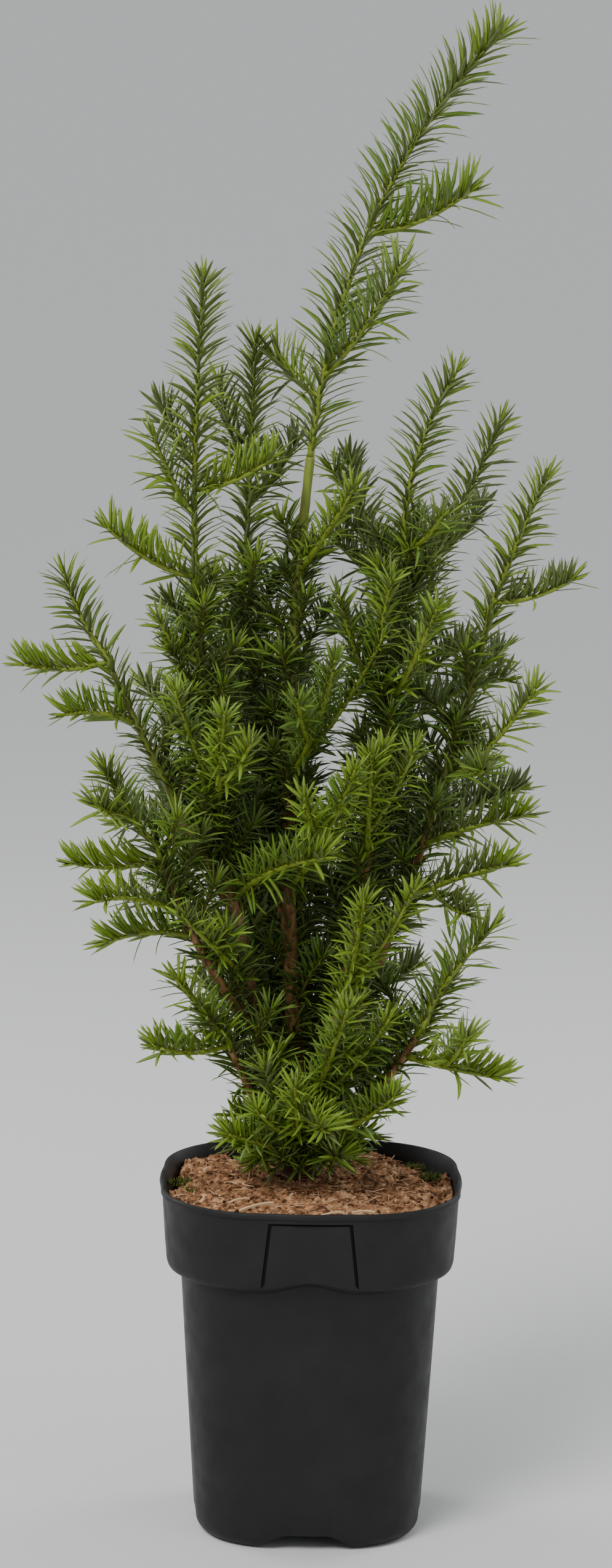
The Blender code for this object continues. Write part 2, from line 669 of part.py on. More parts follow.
def needle_fits(label, root, tip, half, space):
    """True where the tapering needle is clear of the soil, twigs and limbs."""
    if min(root.z, tip.z) < LOWEST_NEEDLE_Z:
        return False
    for start, end, width in NEEDLE_SPANS:
        if space.room(root.lerp(tip, start), root.lerp(tip, end), half * width, (label,)) < GAP:
            return False
    return True


def grow_needle(label, root, tip, half, space):
    """The longest needle that fits towards the tip, or None."""
    for share in NEEDLE_TRIALS:
        end = root.lerp(tip, share)
        if needle_fits(label, root, end, half, space):
            for start, stop, width in NEEDLE_SPANS:
                space.add(label, root.lerp(end, start), root.lerp(end, stop), half * width)
            return end
    return None


def spike(faces, base, top):
    """Faces of a spike that stands on the base's edges."""
    for a, b in zip(base, base[1:] + base[:1]):
        faces.append((a, b, top))


def twig_solid(twig, draw, space):
    """A three-sided core; the sides of each stretch rise into needles."""
    line = twig.line
    points = [p for index in range(len(line)) for p in core_ring(twig, index)]
    faces = [(2, 1, 0)]
    travelled = 0.0
    last = len(line) - 1
    for index in range(last):
        step = (line[index + 1] - line[index]).length
        travelled += step
        reach = index / max(1, last - 1)
        lean = math.radians(NEEDLE_LEAN + (NEEDLE_LEAN_TIP - NEEDLE_LEAN) * max(0.0, reach - 0.5) * 2)
        way = (line[index + 1] - line[index]).normalized()
        centre = (line[index] + line[index + 1]) / 2
        for i in range(3):
            j = (i + 1) % 3
            low = index * 3
            quad = (low + i, low + j, low + 3 + j, low + 3 + i)
            root = (points[quad[0]] + points[quad[1]] + points[quad[2]] + points[quad[3]]) / 4
            out = root - centre
            out = (out - way * out.dot(way)).normalized()
            aim = way * math.cos(lean) + out * math.sin(lean) + UP * NEEDLE_LIFT
            tip = root + aim.normalized() * NEEDLE_LENGTH * draw.uniform(*NEEDLE_SPREAD)
            half = max((points[q] - root).length for q in quad)
            end = None
            if travelled > BARE_FOOT + step / 2:
                end = grow_needle(twig.label, root, tip, half, space)
            if end is None:
                faces.append(quad[:3])
                faces.append((quad[0], quad[2], quad[3]))
            else:
                points.append(end)
                spike(faces, quad, len(points) - 1)
    base = (last * 3, last * 3 + 1, last * 3 + 2)
    tip = line[-1] + directions(line)[-1] * NEEDLE_LENGTH * TIP_NEEDLE
    end = grow_needle(twig.label, line[-1], tip, twig.radii[-1], space)
    if end is None:
        faces.append(base)
    else:
        points.append(end)
        spike(faces, base, len(points) - 1)
    return points, faces


def make_mass(name, twigs, space, needles):
    """One solid: the union of a mass's twigs with their needles."""
    draw = random.Random(name + " needles")
    body = new_object("foliage_" + name, *twig_solid(twigs[0], draw, space), needles)
    if len(twigs) == 1:
        return
    others = bpy.data.collections.new(name + "_twigs")
    for twig in twigs[1:]:
        others.objects.link(new_object(twig.label, *twig_solid(twig, draw, space), needles))
    joined = body.modifiers.new("fuse", 'BOOLEAN')
    joined.operation = 'UNION'
    joined.solver = 'MANIFOLD'
    joined.operand_type = 'COLLECTION'
    joined.collection = others
    graph = bpy.context.evaluated_depsgraph_get()
    fused = bpy.data.meshes.new_from_object(body.evaluated_get(graph))
    body.modifiers.clear()
    body.data = fused
    for twig in list(others.objects):
        bpy.data.objects.remove(twig, do_unlink=True)
    bpy.data.collections.remove(others)


def main():
    clear_scene()
    plastic = material("pot_plastic", (0.022, 0.023, 0.026), 0.55)
    earth = material("potting_soil", (0.115, 0.05, 0.026), 0.95)
    bark = material("bark", (0.16, 0.105, 0.05), 0.8)
    needles = material("needles", (0.09, 0.17, 0.025), 0.5)
    make_pot(plastic)
    make_soil(earth)
    space = Space()
    limbs = {"trunk": make_trunk(bark, space)}
    for row in STEMS:
        make_stem(row, limbs, space, bark)
    growth = {row[0]: mass_twigs(row, limbs, space) for row in MASSES}
    for name, twigs in growth.items():
        if name in SPRIGGED:
            add_sprigs(name, twigs, space)
    for name, twigs in growth.items():
        make_mass(name, twigs, space, needles)


main()
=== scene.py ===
"""Young yew with several stems in a square plastic nursery pot, dressed for rendering.

Named sizes are in millimetres and MM turns them into metres when a mesh is
made. The limbs and the foliage follow the same tables and the same growth
rule as the solids, carried on to finer twigs and to needles of real size.
"""
import math
import random
from dataclasses import dataclass

import bpy
import bmesh
import numpy as np
from mathutils import Matrix
from mathutils import Vector
from mathutils import noise


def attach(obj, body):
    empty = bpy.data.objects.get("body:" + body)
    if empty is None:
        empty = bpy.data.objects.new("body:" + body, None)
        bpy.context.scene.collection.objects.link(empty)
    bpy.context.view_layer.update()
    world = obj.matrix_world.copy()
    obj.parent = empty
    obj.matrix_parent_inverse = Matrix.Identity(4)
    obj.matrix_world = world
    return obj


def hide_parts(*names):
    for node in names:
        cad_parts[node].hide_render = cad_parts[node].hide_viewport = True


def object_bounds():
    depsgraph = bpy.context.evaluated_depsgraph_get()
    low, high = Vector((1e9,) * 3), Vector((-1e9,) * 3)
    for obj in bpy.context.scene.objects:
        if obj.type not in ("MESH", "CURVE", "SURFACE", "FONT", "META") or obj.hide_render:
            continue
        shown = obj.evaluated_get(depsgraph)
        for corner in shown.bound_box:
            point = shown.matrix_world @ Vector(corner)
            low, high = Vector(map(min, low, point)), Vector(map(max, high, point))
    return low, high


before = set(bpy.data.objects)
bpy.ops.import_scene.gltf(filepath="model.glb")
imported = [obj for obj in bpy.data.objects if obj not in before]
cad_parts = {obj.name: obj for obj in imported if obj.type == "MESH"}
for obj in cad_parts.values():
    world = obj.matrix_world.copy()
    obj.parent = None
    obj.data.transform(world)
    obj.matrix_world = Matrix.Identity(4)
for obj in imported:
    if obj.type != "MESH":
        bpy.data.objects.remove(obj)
cad_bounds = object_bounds()

MM = 0.001
UP = Vector((0.0, 0.0, 1.0))
GOLDEN_TURN = math.radians(137.5)
HIGHEST_Z = cad_bounds[1][2] / MM
GAP = 0.35  # clearance between a limb's foot and what carries it

# ---- pot
POT_HEIGHT = 193.0
RIM_HALF = 82.5
RIM_CORNER = 56.0
LIP_HEIGHT = 4.0
LIP_RISE = 1.2  # height over which the wall steps out to the lip
LIP_ROUND = 0.7  # the lip's top is rounded by this
COLLAR_TOP_HALF = 81.3
COLLAR_FOOT_HALF = 79.6
COLLAR_FOOT_Z = 157.0
COLLAR_UNDER_Z = 146.0
COLLAR_LIFT = 4.5
COLLAR_WALL = 2.9
COLLAR_ROUND = 2.6  # the collar's lower edge curls in by this
COLLAR_CURL = (3.5, 7.5)  # and lies this far above the underside, then rises by this
COLLAR_TUCK = (0.8, 0.7)  # the edge's first ring is drawn in and down by these
BODY_TOP_HALF = 71.0
BODY_FOOT_HALF = 62.5
BODY_CORNER = 42.0
BODY_CORNER_GAIN = 4.0  # the corners are rounder by this at the top of the body
EDGE_ROUND = 8.0
WALL = 2.0
INNER_TOP_Z = 186.0
SIDE_BULGE = 1.5
FLOOR_TOP = 9.0
ARCH_WIDTH = 55.0
ARCH_DEPTH = 34.0
ARCH_SPREAD = 1.28  # its soft feet reach out this much further
ARCH_CLIMB = 0.72  # share of each half that the arch takes to rise
ARCH_MOUTH = 9.4  # its height a little outside the wall
ARCH_STEPS = 33
ARCH_OUTSIDE = 6.0  # the arch's shape starts this far outside the wall
ARCH_END = (6.0, 0.7)  # its height and its share of the width far in under the pot
DRAIN_INSET = 10.0  # from the arch's inner end back to the middle of a drain hole
GUIDE_DEPTH = 3.0  # how far a cutting shape stands out past what it cuts
DRAIN_RADIUS = 5.0
DRAIN_SIDES = 24
PANEL_TOP_Z = 187.5
PANEL_HEIGHT = 36.5
PANEL_TOP_WIDTH = 45.0
PANEL_FOOT_WIDTH = 53.0
PANEL_DEPTH = 1.8
PANEL_SLANT = 2.2
CORNER_STEPS = 20
SIDE_STEPS = 14
POT_BEVEL = 0.3
GROOVE_WIDTH = 2.2
GROOVE_MOUTH = 1.3  # its mouth, in groove widths
GROOVE_DEPTH = 2.4

# ---- soil
SOIL_EDGE_Z = 186.5
SOIL_TOP_Z = 189.5
SOIL_RINGS = 84
SOIL_EDGE_CUTS = 3
SOIL_SIDE = 28.0  # how deep the dressed soil goes down beside the pot's wall
SOIL_CLEARANCE = 0.8  # between the soil and the wall
# Noises that make the surface: its place in depth, its frequency and its height.
SOIL_LAYERS = ((7.0, 0.05, 2.2), (3.0, 0.14, 2.6), (5.0, 0.4, 1.7), (9.0, 1.0, 0.9))
SOIL_RISE = 1.7  # the soil reaches its full height this fast from the edge inwards
GULLY_FROM = 0.8  # share of the way out from which the rim's gullies fall
GULLY_DEPTH = 24.0

# ---- trunk
TRUNK_FOOT = (-6.0, 14.0)
TRUNK_TOP = (-7.0, 8.0)
TRUNK_TOP_Z = 242.0
SHADED_BARK_HEIGHTS = (SOIL_TOP_Z + 14, SOIL_TOP_Z + 50)  # heights between which painted shade darkens the bark, for the shadow under the low foliage
YOUNG_BARK_Z = 400.0  # height about which brown bark turns to olive
BARK_PITCH = 2.2  # distance from ring to ring of the bark
LEAD_STEPS = 4  # rings of a limb's bark inside its carrier
TRUNK_SIDES = 30
STEM_SIDES = 16
ROOT_LOBES = 5  # the trunk's foot runs out into this many roots
ROOT_FLARE = 0.16
FLARE_FADE = 7.0  # distance up the trunk over which they fade
STEM_SWELL = 0.35  # a stem is thicker by this share where it leaves its carrier
SWELL_FADE = 9.0
TRUNK_RADII = ((0.0, 13.5), (0.1, 11.0), (0.26, 9.4), (0.6, 8.4), (1.0, 7.4))

# ---- stems
# name, parent, height where it leaves the parent, a point half way, its tip,
# radius at the foot and at the tip
STEM_STEPS = 8
STEMS = (
    ("main_stem", "trunk", None, (-15, 0, 410), (-5, 0, 586), 5.4, 2.4),
    ("left_stem", "trunk", 208, (-48, -16, 372), (-65, -24, 514), 4.6, 1.9),
    ("right_stem", "trunk", 206, (28, -12, 372), (46, -10, 530), 4.4, 1.8),
    ("mid_stem", "main_stem", 340, (-30, 9, 428), (-40, 12, 500), 2.6, 1.6),
    ("right_outer_stem", "right_stem", 262, (62, -4, 392), (91, -6, 502), 3.4, 1.6),
    ("left_bough", "left_stem", 350, (-78, -31, 411), (-109, -36, 477), 2.8, 1.5),
    ("left_low_stem", "left_stem", 276, (-60, -36, 325), (-81, -50, 376), 2.9, 1.6),
    ("low_left_stem", "trunk", 200, (-32, -12, 240), (-44, -30, 271), 2.8, 1.7),
    ("low_right_stem", "trunk", 200, (32, -14, 240), (56, -40, 281), 3.0, 1.7),
    ("back_left_stem", "trunk", 204, (-34, 36, 310), (-50, 62, 402), 3.6, 1.7),
    ("back_right_stem", "trunk", 203, (20, 38, 318), (48, 66, 424), 3.6, 1.7),
    ("back_low_stem", "trunk", 199, (-4, 42, 246), (-6, 66, 300), 3.0, 1.7),
)

# ---- foliage
# name, stem that carries it, height where it leaves that stem (None: it grows
# on from the stem's tip), bow, then the tips: the first is its own stem's tip,
# each further one is a side twig with its place along that stem
MASSES = (
    ("leader", "main_stem", None, (-16, 2, 12), (86, -8, 803),
     ((0.12, (-24, 20, 636)), (0.16, (41, -30, 690)), (0.47, (76, -30, 728)))),
    ("left_leader", "left_stem", None, (-2, 0, 0), (-62, -20, 680),
     ((0.06, (-110, -54, 553)), (0.26, (-87, -42, 600)), (0.34, (-25, -48, 590)),
      (0.42, (-84, 0, 612)))),
    ("mid_leader", "mid_stem", None, (0, 0, 0), (-35, 16, 645),
     ((0.5, (-55, 42, 620)), (0.4, (-12, 40, 590)))),
    ("right_leader", "right_stem", None, (-9, 0, 0), (71, -10, 632),
     ((0.08, (64, -44, 560)),)),
    ("right_back_leader", "right_stem", 508, (2, 4, -4), (96, 25, 602),
     ((0.3, (88, 48, 556)),)),
    ("right_outer_leader", "right_outer_stem", None, (-2, 0, -2), (120, -8, 577),
     ((0.12, (133, -28, 525)),)),
    ("left_bough_tip", "left_bough", None, (-2, 0, 0), (-134, -30, 525),
     ((0.06, (-153, -50, 480)),)),
    ("left_bough_lower", "left_bough", 447, (0, 0, 3), (-131, -56, 455), ()),
    ("left_low_tip", "left_low_stem", None, (-4, 0, 4), (-110, -60, 426),
     ((0.45, (-114, -84, 412)), (0.02, (-126, -60, 376)))),
    ("left_low_outer", "left_low_stem", 345, (0, -4, 6), (-114, -90, 362), ()),
    ("left_low_under", "left_low_stem", 333, (0, -2, 4), (-108, -56, 334), ()),
    ("low_left_tip", "low_left_stem", None, (3, 0, -2), (-73, -50, 312),
     ((0.05, (-84, -72, 281)),)),
    ("low_left_foot", "trunk", 202, (6, -8, 0), (-44, -54, 229), ()),
    ("low_front", "trunk", 204, (0, -8, -3), (-9, -74, 260),
     ((0.4, (-30, -66, 246)), (0.15, (-16, -38, 212)))),
    ("low_front_right", "trunk", 206, (0, -4, -3), (43, -62, 252), ((0.15, (14, -40, 214)),)),
    ("low_front_upper", "trunk", 218, (0, -6, -3), (18, -80, 304), ((0.3, (40, -60, 294)),)),
    ("low_right_rising", "low_right_stem", None, (-4, 0, 0), (93, -55, 342), ()),
    ("low_right_spreading", "low_right_stem", 268, (0, -4, 0), (98, -62, 264),
     ((0.4, (80, -84, 290)),)),
    ("right_front", "right_stem", 280, (0, -4, -4), (26, -80, 362), ((0.4, (52, -70, 366)),)),
    ("centre_front", "main_stem", 352, (0, -6, -6), (20, -86, 432),
     ((0.5, (-6, -88, 418)), (0.2, (36, -54, 440)))),
    ("centre_upper", "main_stem", 412, (2, -6, -4), (9, -62, 486),
     ((0.4, (-10, -78, 466)), (0.25, (34, -44, 496)))),
    ("centre_high", "main_stem", 525, (0, -2, -2), (18, -38, 574), ()),
    ("right_upper_front", "right_stem", 452, (-2, -4, -4), (11, -48, 518), ((0.35, (38, -46, 528)),)),
    ("right_upper_back", "right_stem", 494, (0, 6, -2), (16, 52, 580), ((0.3, (8, 34, 540)),)),
    ("right_upper_side", "right_stem", 456, (0, -4, -2), (62, -52, 512), ()),
    ("right_middle", "right_stem", 368, (0, -4, -2), (29, -62, 436), ((0.35, (52, -50, 438)),)),
    ("right_side_rising", "right_outer_stem", 412, (2, 0, -4), (115, -35, 468),
     ((0.25, (88, -56, 428)),)),
    ("right_side_middle", "right_outer_stem", 378, (0, -2, 2), (110, -30, 399), ()),
    ("right_side_lower", "right_outer_stem", 346, (0, -3, 3), (101, -50, 376),
     ((0.3, (80, -60, 352)),)),
    ("left_front_star", "left_stem", 400, (0, -4, -4), (-48, -94, 462),
     ((0.4, (-34, -92, 446)), (0.2, (-74, -70, 470)))),
    ("left_front_fan", "left_stem", 348, (-4, -2, 4), (4, -82, 385), ()),
    ("left_side_small", "left_stem", 478, (-2, -2, -2), (-84, -32, 502), ()),
    ("left_front_low", "left_stem", 304, (0, -4, 0), (-68, -80, 352), ()),
    ("inner_left", "main_stem", 330, (2, 10, -2), (-56, 52, 398), ((0.3, (-28, 40, 420)),)),
    ("back_left_top", "back_left_stem", None, (-4, 0, 0), (-64, 60, 512),
     ((0.1, (-96, 82, 450)), (0.35, (-32, 98, 480)))),
    ("back_left_outer", "back_left_stem", 346, (0, 0, 4), (-108, 60, 384), ((0.4, (-88, 92, 396)),)),
    ("back_left_inner", "back_left_stem", 292, (0, 6, 0), (-50, 116, 362), ()),
    ("back_right_top", "back_right_stem", None, (4, 0, 0), (62, 60, 536),
     ((0.1, (102, 80, 472)), (0.35, (32, 102, 500)))),
    ("back_right_outer", "back_right_stem", 356, (0, 0, 4), (112, 56, 398), ((0.4, (92, 92, 408)),)),
    ("back_right_inner", "back_right_stem", 304, (0, 6, 0), (46, 118, 376), ()),
    ("back_low_centre", "back_low_stem", None, (0, 4, 0), (-8, 112, 340), ((0.3, (-44, 102, 330)),)),
    ("back_low_left", "back_low_stem", 250, (0, 2, 2), (-62, 72, 284), ()),
    ("back_low_right", "back_low_stem", 254, (0, 2, 2), (56, 78, 292), ()),
    ("back_centre", "main_stem", 380, (0, 6, -2), (-6, 92, 462), ((0.5, (-34, 84, 440)),)),
)

# The masses that carry sprigs and finer shoots; the others have their stem and side twigs only.
SPRIGGED = (
    "low_front", "low_front_upper", "inner_left", "right_upper_back", "back_left_top",
    "back_left_outer", "back_left_inner", "back_right_top", "back_right_outer",
    "back_right_inner", "back_low_centre", "back_low_left", "back_low_right", "back_centre",
)

# Young tufts at the front of the crown, whose needles are still short.
TUFTS = (
    "low_front", "low_front_upper", "right_front", "centre_front", "centre_upper",
    "centre_high", "right_upper_front", "right_upper_side", "right_middle",
    "left_front_star", "left_front_low", "left_side_small",
)
# Strong shoots and the length of their needles, in needle lengths.
STRONG = {
    "leader": 1.0, "left_leader": 0.82, "mid_leader": 0.78, "right_leader": 0.78,
    "low_right_rising": 0.88, "left_front_fan": 0.85,
}

# The crown is densest inside this egg: its centre and its half sizes.
HEART = Vector((-4.0, 0.0, 392.0))
HEART_REACH = Vector((92.0, 92.0, 190.0))

CORE_FOOT = 2.0  # radius of a mass's own stem, and of its tip
CORE_TIP = 0.9
LEADER_ON = 7.0  # the leader's youngest growth, past the solid's tip
TWIG_FOOT = 1.6
TWIG_SAG = 0.07
LINE_PITCH = 9.0
SPRIG_LENGTH = 34.0
SPRIG_SPACING = 42.0
SPRIG_ANGLE = 52.0
SPRIG_LIFT = 0.15
SPRIG_FOOT = 1.3
SPRIG_TIP = 0.8
FINE_SPACING = 12.0  # finer shoots between the sprigs
FINE_LENGTH = 28.0
FINE_ANGLE = 44.0
FINE_CHANCE = 0.12  # share of them that grow at the crown's skin
FINE_CHANCE_GAIN = 1.5  # and what is added towards its heart
SPUR_SPACING = 9.0  # short shoots straight from the older stems
SPUR_LENGTH = 36.0
SPUR_LIFTS = (1.1, 2.8)  # how steeply they climb, least and most
SPUR_LOWEST_Z = 222.0
SPUR_HIGHEST_Z = 530.0
APRON_COUNT = 15  # short leafy shoots in front of the trunk's foot
APRON_Z = 211.0
APRON_LIFT = -0.06
SKIRT_COUNT = 14  # and all round it, further up
SKIRT_HEIGHTS = (204.0, 236.0)
SKIRT_LENGTH = 32.0
TUBE_SIDES = 6
TUBE_PITCH = 3.0  # distance from ring to ring of a shoot's skin
BUD_LENGTH = 2.2

NEEDLE_LENGTH = 26.0
NEEDLE_WIDTH = 2.1
COMMON_NEEDLE = 0.74  # needles of most shoots, in needle lengths
TUFT_NEEDLE = 0.6  # and of young tufts
NEEDLE_THICKNESS = 0.5
NEEDLE_PITCH = 0.85  # distance along a shoot from needle to needle
STEM_NEEDLE_PITCH = 1.1
STEM_NEEDLE_COLOUR = 2  # their place among the needle colours
BARE_BELOW = {"trunk": TRUNK_TOP_Z, "left_stem": 335.0, "right_stem": 305.0, "main_stem": 262.0}
OTHERS_BARE_BELOW = 214.0  # heights under which the stems carry no needles
BARE_STRETCH = (548.0, 592.0)  # heights between which the stems' tops are bare
NEEDLE_LEAN = 60.0
NEEDLE_LEAN_TIP = 44.0
NEEDLE_RECURVE = 17.0  # a needle's tip leans out more than its foot
NEEDLE_DROOP = 0.22
THIN_BELOW = -0.35  # needles that point down more than this are thinned out
THINNING = 0.45  # by this share on a level shoot
COMB_ALWAYS = 0.12  # how much needles comb upwards on any shoot
COMB_LEVEL = 0.75  # and what is added on a level one
TIP_STRETCH = 0.3  # last share of a shoot, where needles turn forward and shorten
TIP_NEEDLES = 5
NEEDLE_STATIONS = (0.0, 0.19, 0.5, 0.82, 1.0)
NEEDLE_WIDTHS = (0.5, 0.95, 1.0, 0.62)
LOWEST_NEEDLE_Z = 191.5
TOP_NEEDLES = 12.0  # needles may pass the solids' top by this
CROWN_BACK = Vector((0.0, 24.0, 0.0))  # leaning sprays show their needles away from here


# ---- materials
def linear(red, green, blue):
    """A colour from its everyday 0 to 255 values."""
    made = []
    for value in (red, green, blue):
        share = value / 255
        made.append(share / 12.92 if share <= 0.04045 else ((share + 0.055) / 1.055) ** 2.4)
    return (*made, 1.0)


def plain(name, colour, roughness, specular=0.5):
    """A material of one base colour."""
    made = bpy.data.materials.new(name)
    made.use_nodes = True
    shader = made.node_tree.nodes["Principled BSDF"]
    shader.inputs["Base Color"].default_value = colour
    shader.inputs["Roughness"].default_value = roughness
    shader.inputs["Specular IOR Level"].default_value = specular
    made.diffuse_color = colour
    return made


class Nodes:
    """Short ways to add nodes to a material."""

    def __init__(self, made):
        self.tree = made.node_tree
        self.shader = made.node_tree.nodes["Principled BSDF"]

    def feed(self, node, inputs):
        """Give a node its inputs: a socket is linked, anything else is a value."""
        for key, value in inputs.items():
            if isinstance(value, bpy.types.NodeSocket):
                self.tree.links.new(value, node.inputs[key])
            else:
                node.inputs[key].default_value = value

    def add(self, kind, output, inputs, **settings):
        """One output of a new node."""
        node = self.tree.nodes.new(kind)
        for key, value in settings.items():
            setattr(node, key, value)
        self.feed(node, inputs)
        return node.outputs[output]

    def place(self):
        return self.add("ShaderNodeTexCoord", "Object", {})

    def noise(self, scale, detail=4.0, stretch=(1.0, 1.0, 1.0)):
        """Noise in object coordinates, scale in repeats per metre."""
        place = self.add("ShaderNodeMapping", "Vector", {"Vector": self.place(), "Scale": stretch})
        return self.add("ShaderNodeTexNoise", "Fac",
                        {"Vector": place, "Scale": scale, "Detail": detail})

    def ramp(self, source, stops):
        """Colours at their stops along a source."""
        made = self.tree.nodes.new("ShaderNodeValToRGB")
        bands = made.color_ramp.elements
        while len(bands) < len(stops):
            bands.new(0.5)
        for band, (place, colour) in zip(bands, stops):
            band.position = place
            band.color = colour
        self.feed(made, {"Fac": source})
        return made.outputs["Color"]

    def darkened_below(self, colour, low, high, dark):
        """The colour multiplied by a dark one at height low, and left as it is at height high."""
        height = self.add("ShaderNodeSeparateXYZ", "Z", {"Vector": self.place()})
        share = self.add("ShaderNodeMapRange", "Result",
                         {"Value": height, "From Min": high * MM, "From Max": low * MM})
        return self.add("ShaderNodeMix", "Result", {"Factor": share, "A": colour, "B": dark},
                        data_type='RGBA', blend_type='MULTIPLY')

    def spread(self, source, low, high):
        """The source's middle range carried to low..high."""
        return self.add("ShaderNodeMapRange", "Result",
                        {"Value": source, "From Min": 0.3, "From Max": 0.7,
                         "To Min": low, "To Max": high})

    def bump(self, height, distance, strength):
        """Relief from a height, distance in millimetres."""
        relief = self.add("ShaderNodeBump", "Normal",
                          {"Height": height, "Distance": distance * MM, "Strength": strength})
        self.feed(self.shader, {"Normal": relief})


def mottled(name, base, finish, grain, stops, relief, depth):
    """A material whose colour runs through stops over a noise, with a bump of a finer noise."""
    made = plain(name, base, *finish)
    nodes = Nodes(made)
    colour = nodes.ramp(nodes.noise(*grain), stops)
    nodes.feed(nodes.shader, {"Base Color": colour})
    nodes.bump(nodes.noise(*relief), *depth)
    return made, nodes, colour


def pot_plastic():
    """Charcoal recycled plastic: matt, faintly mottled, with a fine grain."""
    stops = ((0.3, linear(24, 24, 24)), (0.55, linear(27, 27, 27)), (0.75, linear(31, 31, 31)))
    made, nodes, _ = mottled("pot_plastic", linear(27, 27, 27), (0.55, 0.25), (38.0, 5.0), stops,
                             (1500.0, 2.0), (0.05, 0.35))
    nodes.feed(nodes.shader, {"Roughness": nodes.spread(nodes.noise(90.0, 3.0), 0.46, 0.62)})
    return made


def soil_material():
    """Bark and peat mix: red-brown crumbs from dark brown to tan."""
    stops = ((0.34, linear(76, 47, 28)), (0.45, linear(142, 102, 70)),
             (0.59, linear(184, 140, 103)), (0.76, linear(222, 188, 150)))
    return mottled("potting_soil", linear(116, 86, 58), (0.95, 0.2), (210.0, 9.0), stops,
                   (900.0, 4.0), (0.5, 0.8))[0]


def bark_material():
    """Thin brown bark, streaked along the limb, with painted shade darkening it near the soil."""
    stops = ((0.3, linear(84, 58, 34)), (0.5, linear(134, 98, 60)), (0.68, linear(168, 132, 92)))
    made, nodes, streaks = mottled("bark", linear(104, 82, 50), (0.8, 0.25),
                                   (260.0, 6.0, (1.0, 1.0, 0.22)), stops,
                                   (700.0, 4.0, (1.0, 1.0, 0.3)), (0.3, 0.7))
    # Painted shade: the bark is multiplied darker towards the soil, for the shadow under the low
    # foliage.
    shaded_bark = nodes.darkened_below(streaks, *SHADED_BARK_HEIGHTS, linear(132, 116, 104))
    nodes.feed(nodes.shader, {"Base Color": shaded_bark})
    return made


def young_bark_material():
    """Olive skin of the younger stems, browner in streaks."""
    stops = ((0.32, linear(88, 86, 36)), (0.5, linear(110, 122, 44)), (0.7, linear(128, 142, 54)))
    return mottled("young_bark", linear(108, 120, 44), (0.6, 0.35),
                   (200.0, 5.0, (1.0, 1.0, 0.18)), stops,
                   (600.0, 3.0, (1.0, 1.0, 0.3)), (0.2, 0.5))[0]


# Needle colours, dealt out by spray: the youngest and outermost come first.
NEEDLE_COLOURS = (
    ("needle_bright", linear(118, 146, 42)),
    ("needle_fresh", linear(99, 127, 38)),
    ("needle_mid", linear(82, 109, 32)),
    ("needle_deep", linear(66, 90, 25)),
    ("needle_olive", linear(56, 76, 20)),
)
# Painted shade: near-black for the faces of the groove round the panel, standing in for the shadow
# deep in it.
GROOVE_PAINTED_SHADE = linear(13, 13, 13)
NEEDLE_FOOT_COLOUR = linear(120, 138, 38)
NEEDLE_UNDER_COLOUR = linear(92, 106, 48)
SHOOT_COLOUR = linear(120, 136, 38)
TWIG_COLOUR = linear(90, 90, 30)


# ---- mesh helpers
def placed(name, data):
    """A new object in the scene."""
    made = bpy.data.objects.new(name, data)
    bpy.context.scene.collection.objects.link(made)
    return made


def ride(piece, nodes):
    """Carry a piece on the plant, in place of the solids it dresses."""
    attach(piece, "root")
    if nodes:
        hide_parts(*nodes)


def mesh_piece(name, points, faces, materials, indices=None, smooth=True):
    """One object from millimetre points."""
    mesh = bpy.data.meshes.new(name)
    scaled = (np.asarray(points, float) * MM).tolist()
    mesh.from_pydata(scaled, [], faces)
    for finish in materials:
        mesh.materials.append(finish)
    if indices is not None:
        mesh.polygons.foreach_set("material_index", indices)
    mesh.polygons.foreach_set("use_smooth", [smooth] * len(mesh.polygons))
    mesh.update()
    return placed(name, mesh)


def loft(rings):
    """Points and faces of a closed skin through rings of equal length."""
    count = len(rings[0])
    points = [p for ring in rings for p in ring]
    faces = []
    for level in range(len(rings) - 1):
        low = level * count
        for i in range(count):
            j = (i + 1) % count
            faces.append((low + i, low + j, low + count + j, low + count + i))
    faces.append(tuple(reversed(range(count))))
    last = (len(rings) - 1) * count
    faces.append(tuple(range(last, last + count)))
    return points, faces


def gather(shapes):
    """Several shapes as one list of points and faces."""
    points, faces = [], []
    for shape_points, shape_faces in shapes:
        start = len(points)
        points += shape_points
        faces += [tuple(start + i for i in face) for face in shape_faces]
    return points, faces


def curve_through(foot, middle, tip, steps):
    """Points of the quadratic curve that passes the middle half way."""
    foot, middle, tip = Vector(foot), Vector(middle), Vector(tip)
    pull = middle * 2 - (foot + tip) / 2
    return [foot * (1 - t) ** 2 + pull * 2 * t * (1 - t) + tip * t * t
            for t in (i / steps for i in range(steps + 1))]


def swung(first, second, angle):
    """The direction at an angle from the first axis towards the second."""
    return first * math.cos(angle) + second * math.sin(angle)


def outward(turn, climb=0.0):
    """The level direction at a turn, with a climb."""
    return Vector((math.cos(turn), math.sin(turn), climb))


def arc(steps, sweep=90):
    """Cosine and sine of even angles from 0 to the sweep."""
    angles = [math.radians(sweep * i / steps) for i in range(steps + 1)]
    return [(math.cos(angle), math.sin(angle)) for angle in angles]


def length_of(line):
    return sum((b - a).length for a, b in zip(line, line[1:]))


def directions(line):
    """Smoothed direction of travel at each point of a line."""
    steps = [(b - a).normalized() for a, b in zip(line, line[1:])]
    inner = [(a + b).normalized() for a, b in zip(steps, steps[1:])]
    return [steps[0]] + inner + [steps[-1]]


def frames(line):
    """Direction and two cross axes at each point, carried along without twist."""
    heading = directions(line)
    side = heading[0].orthogonal().normalized()
    rows = []
    for way in heading:
        side = (side - way * side.dot(way)).normalized()
        rows.append((way, side, way.cross(side)))
    return rows


def seat(share, count):
    """Where a share falls in a row of points: the point before it, and how far past that."""
    place = share * (count - 1)
    index = min(int(place), count - 2)
    return index, place - index


def frame_at(line, share):
    """Direction and cross axes at the last point before a share of the line."""
    return frames(line)[seat(share, len(line))[0]]


def along(line, share):
    """The point at a share of a line."""
    index, past = seat(share, len(line))
    return line[index].lerp(line[index + 1], past)


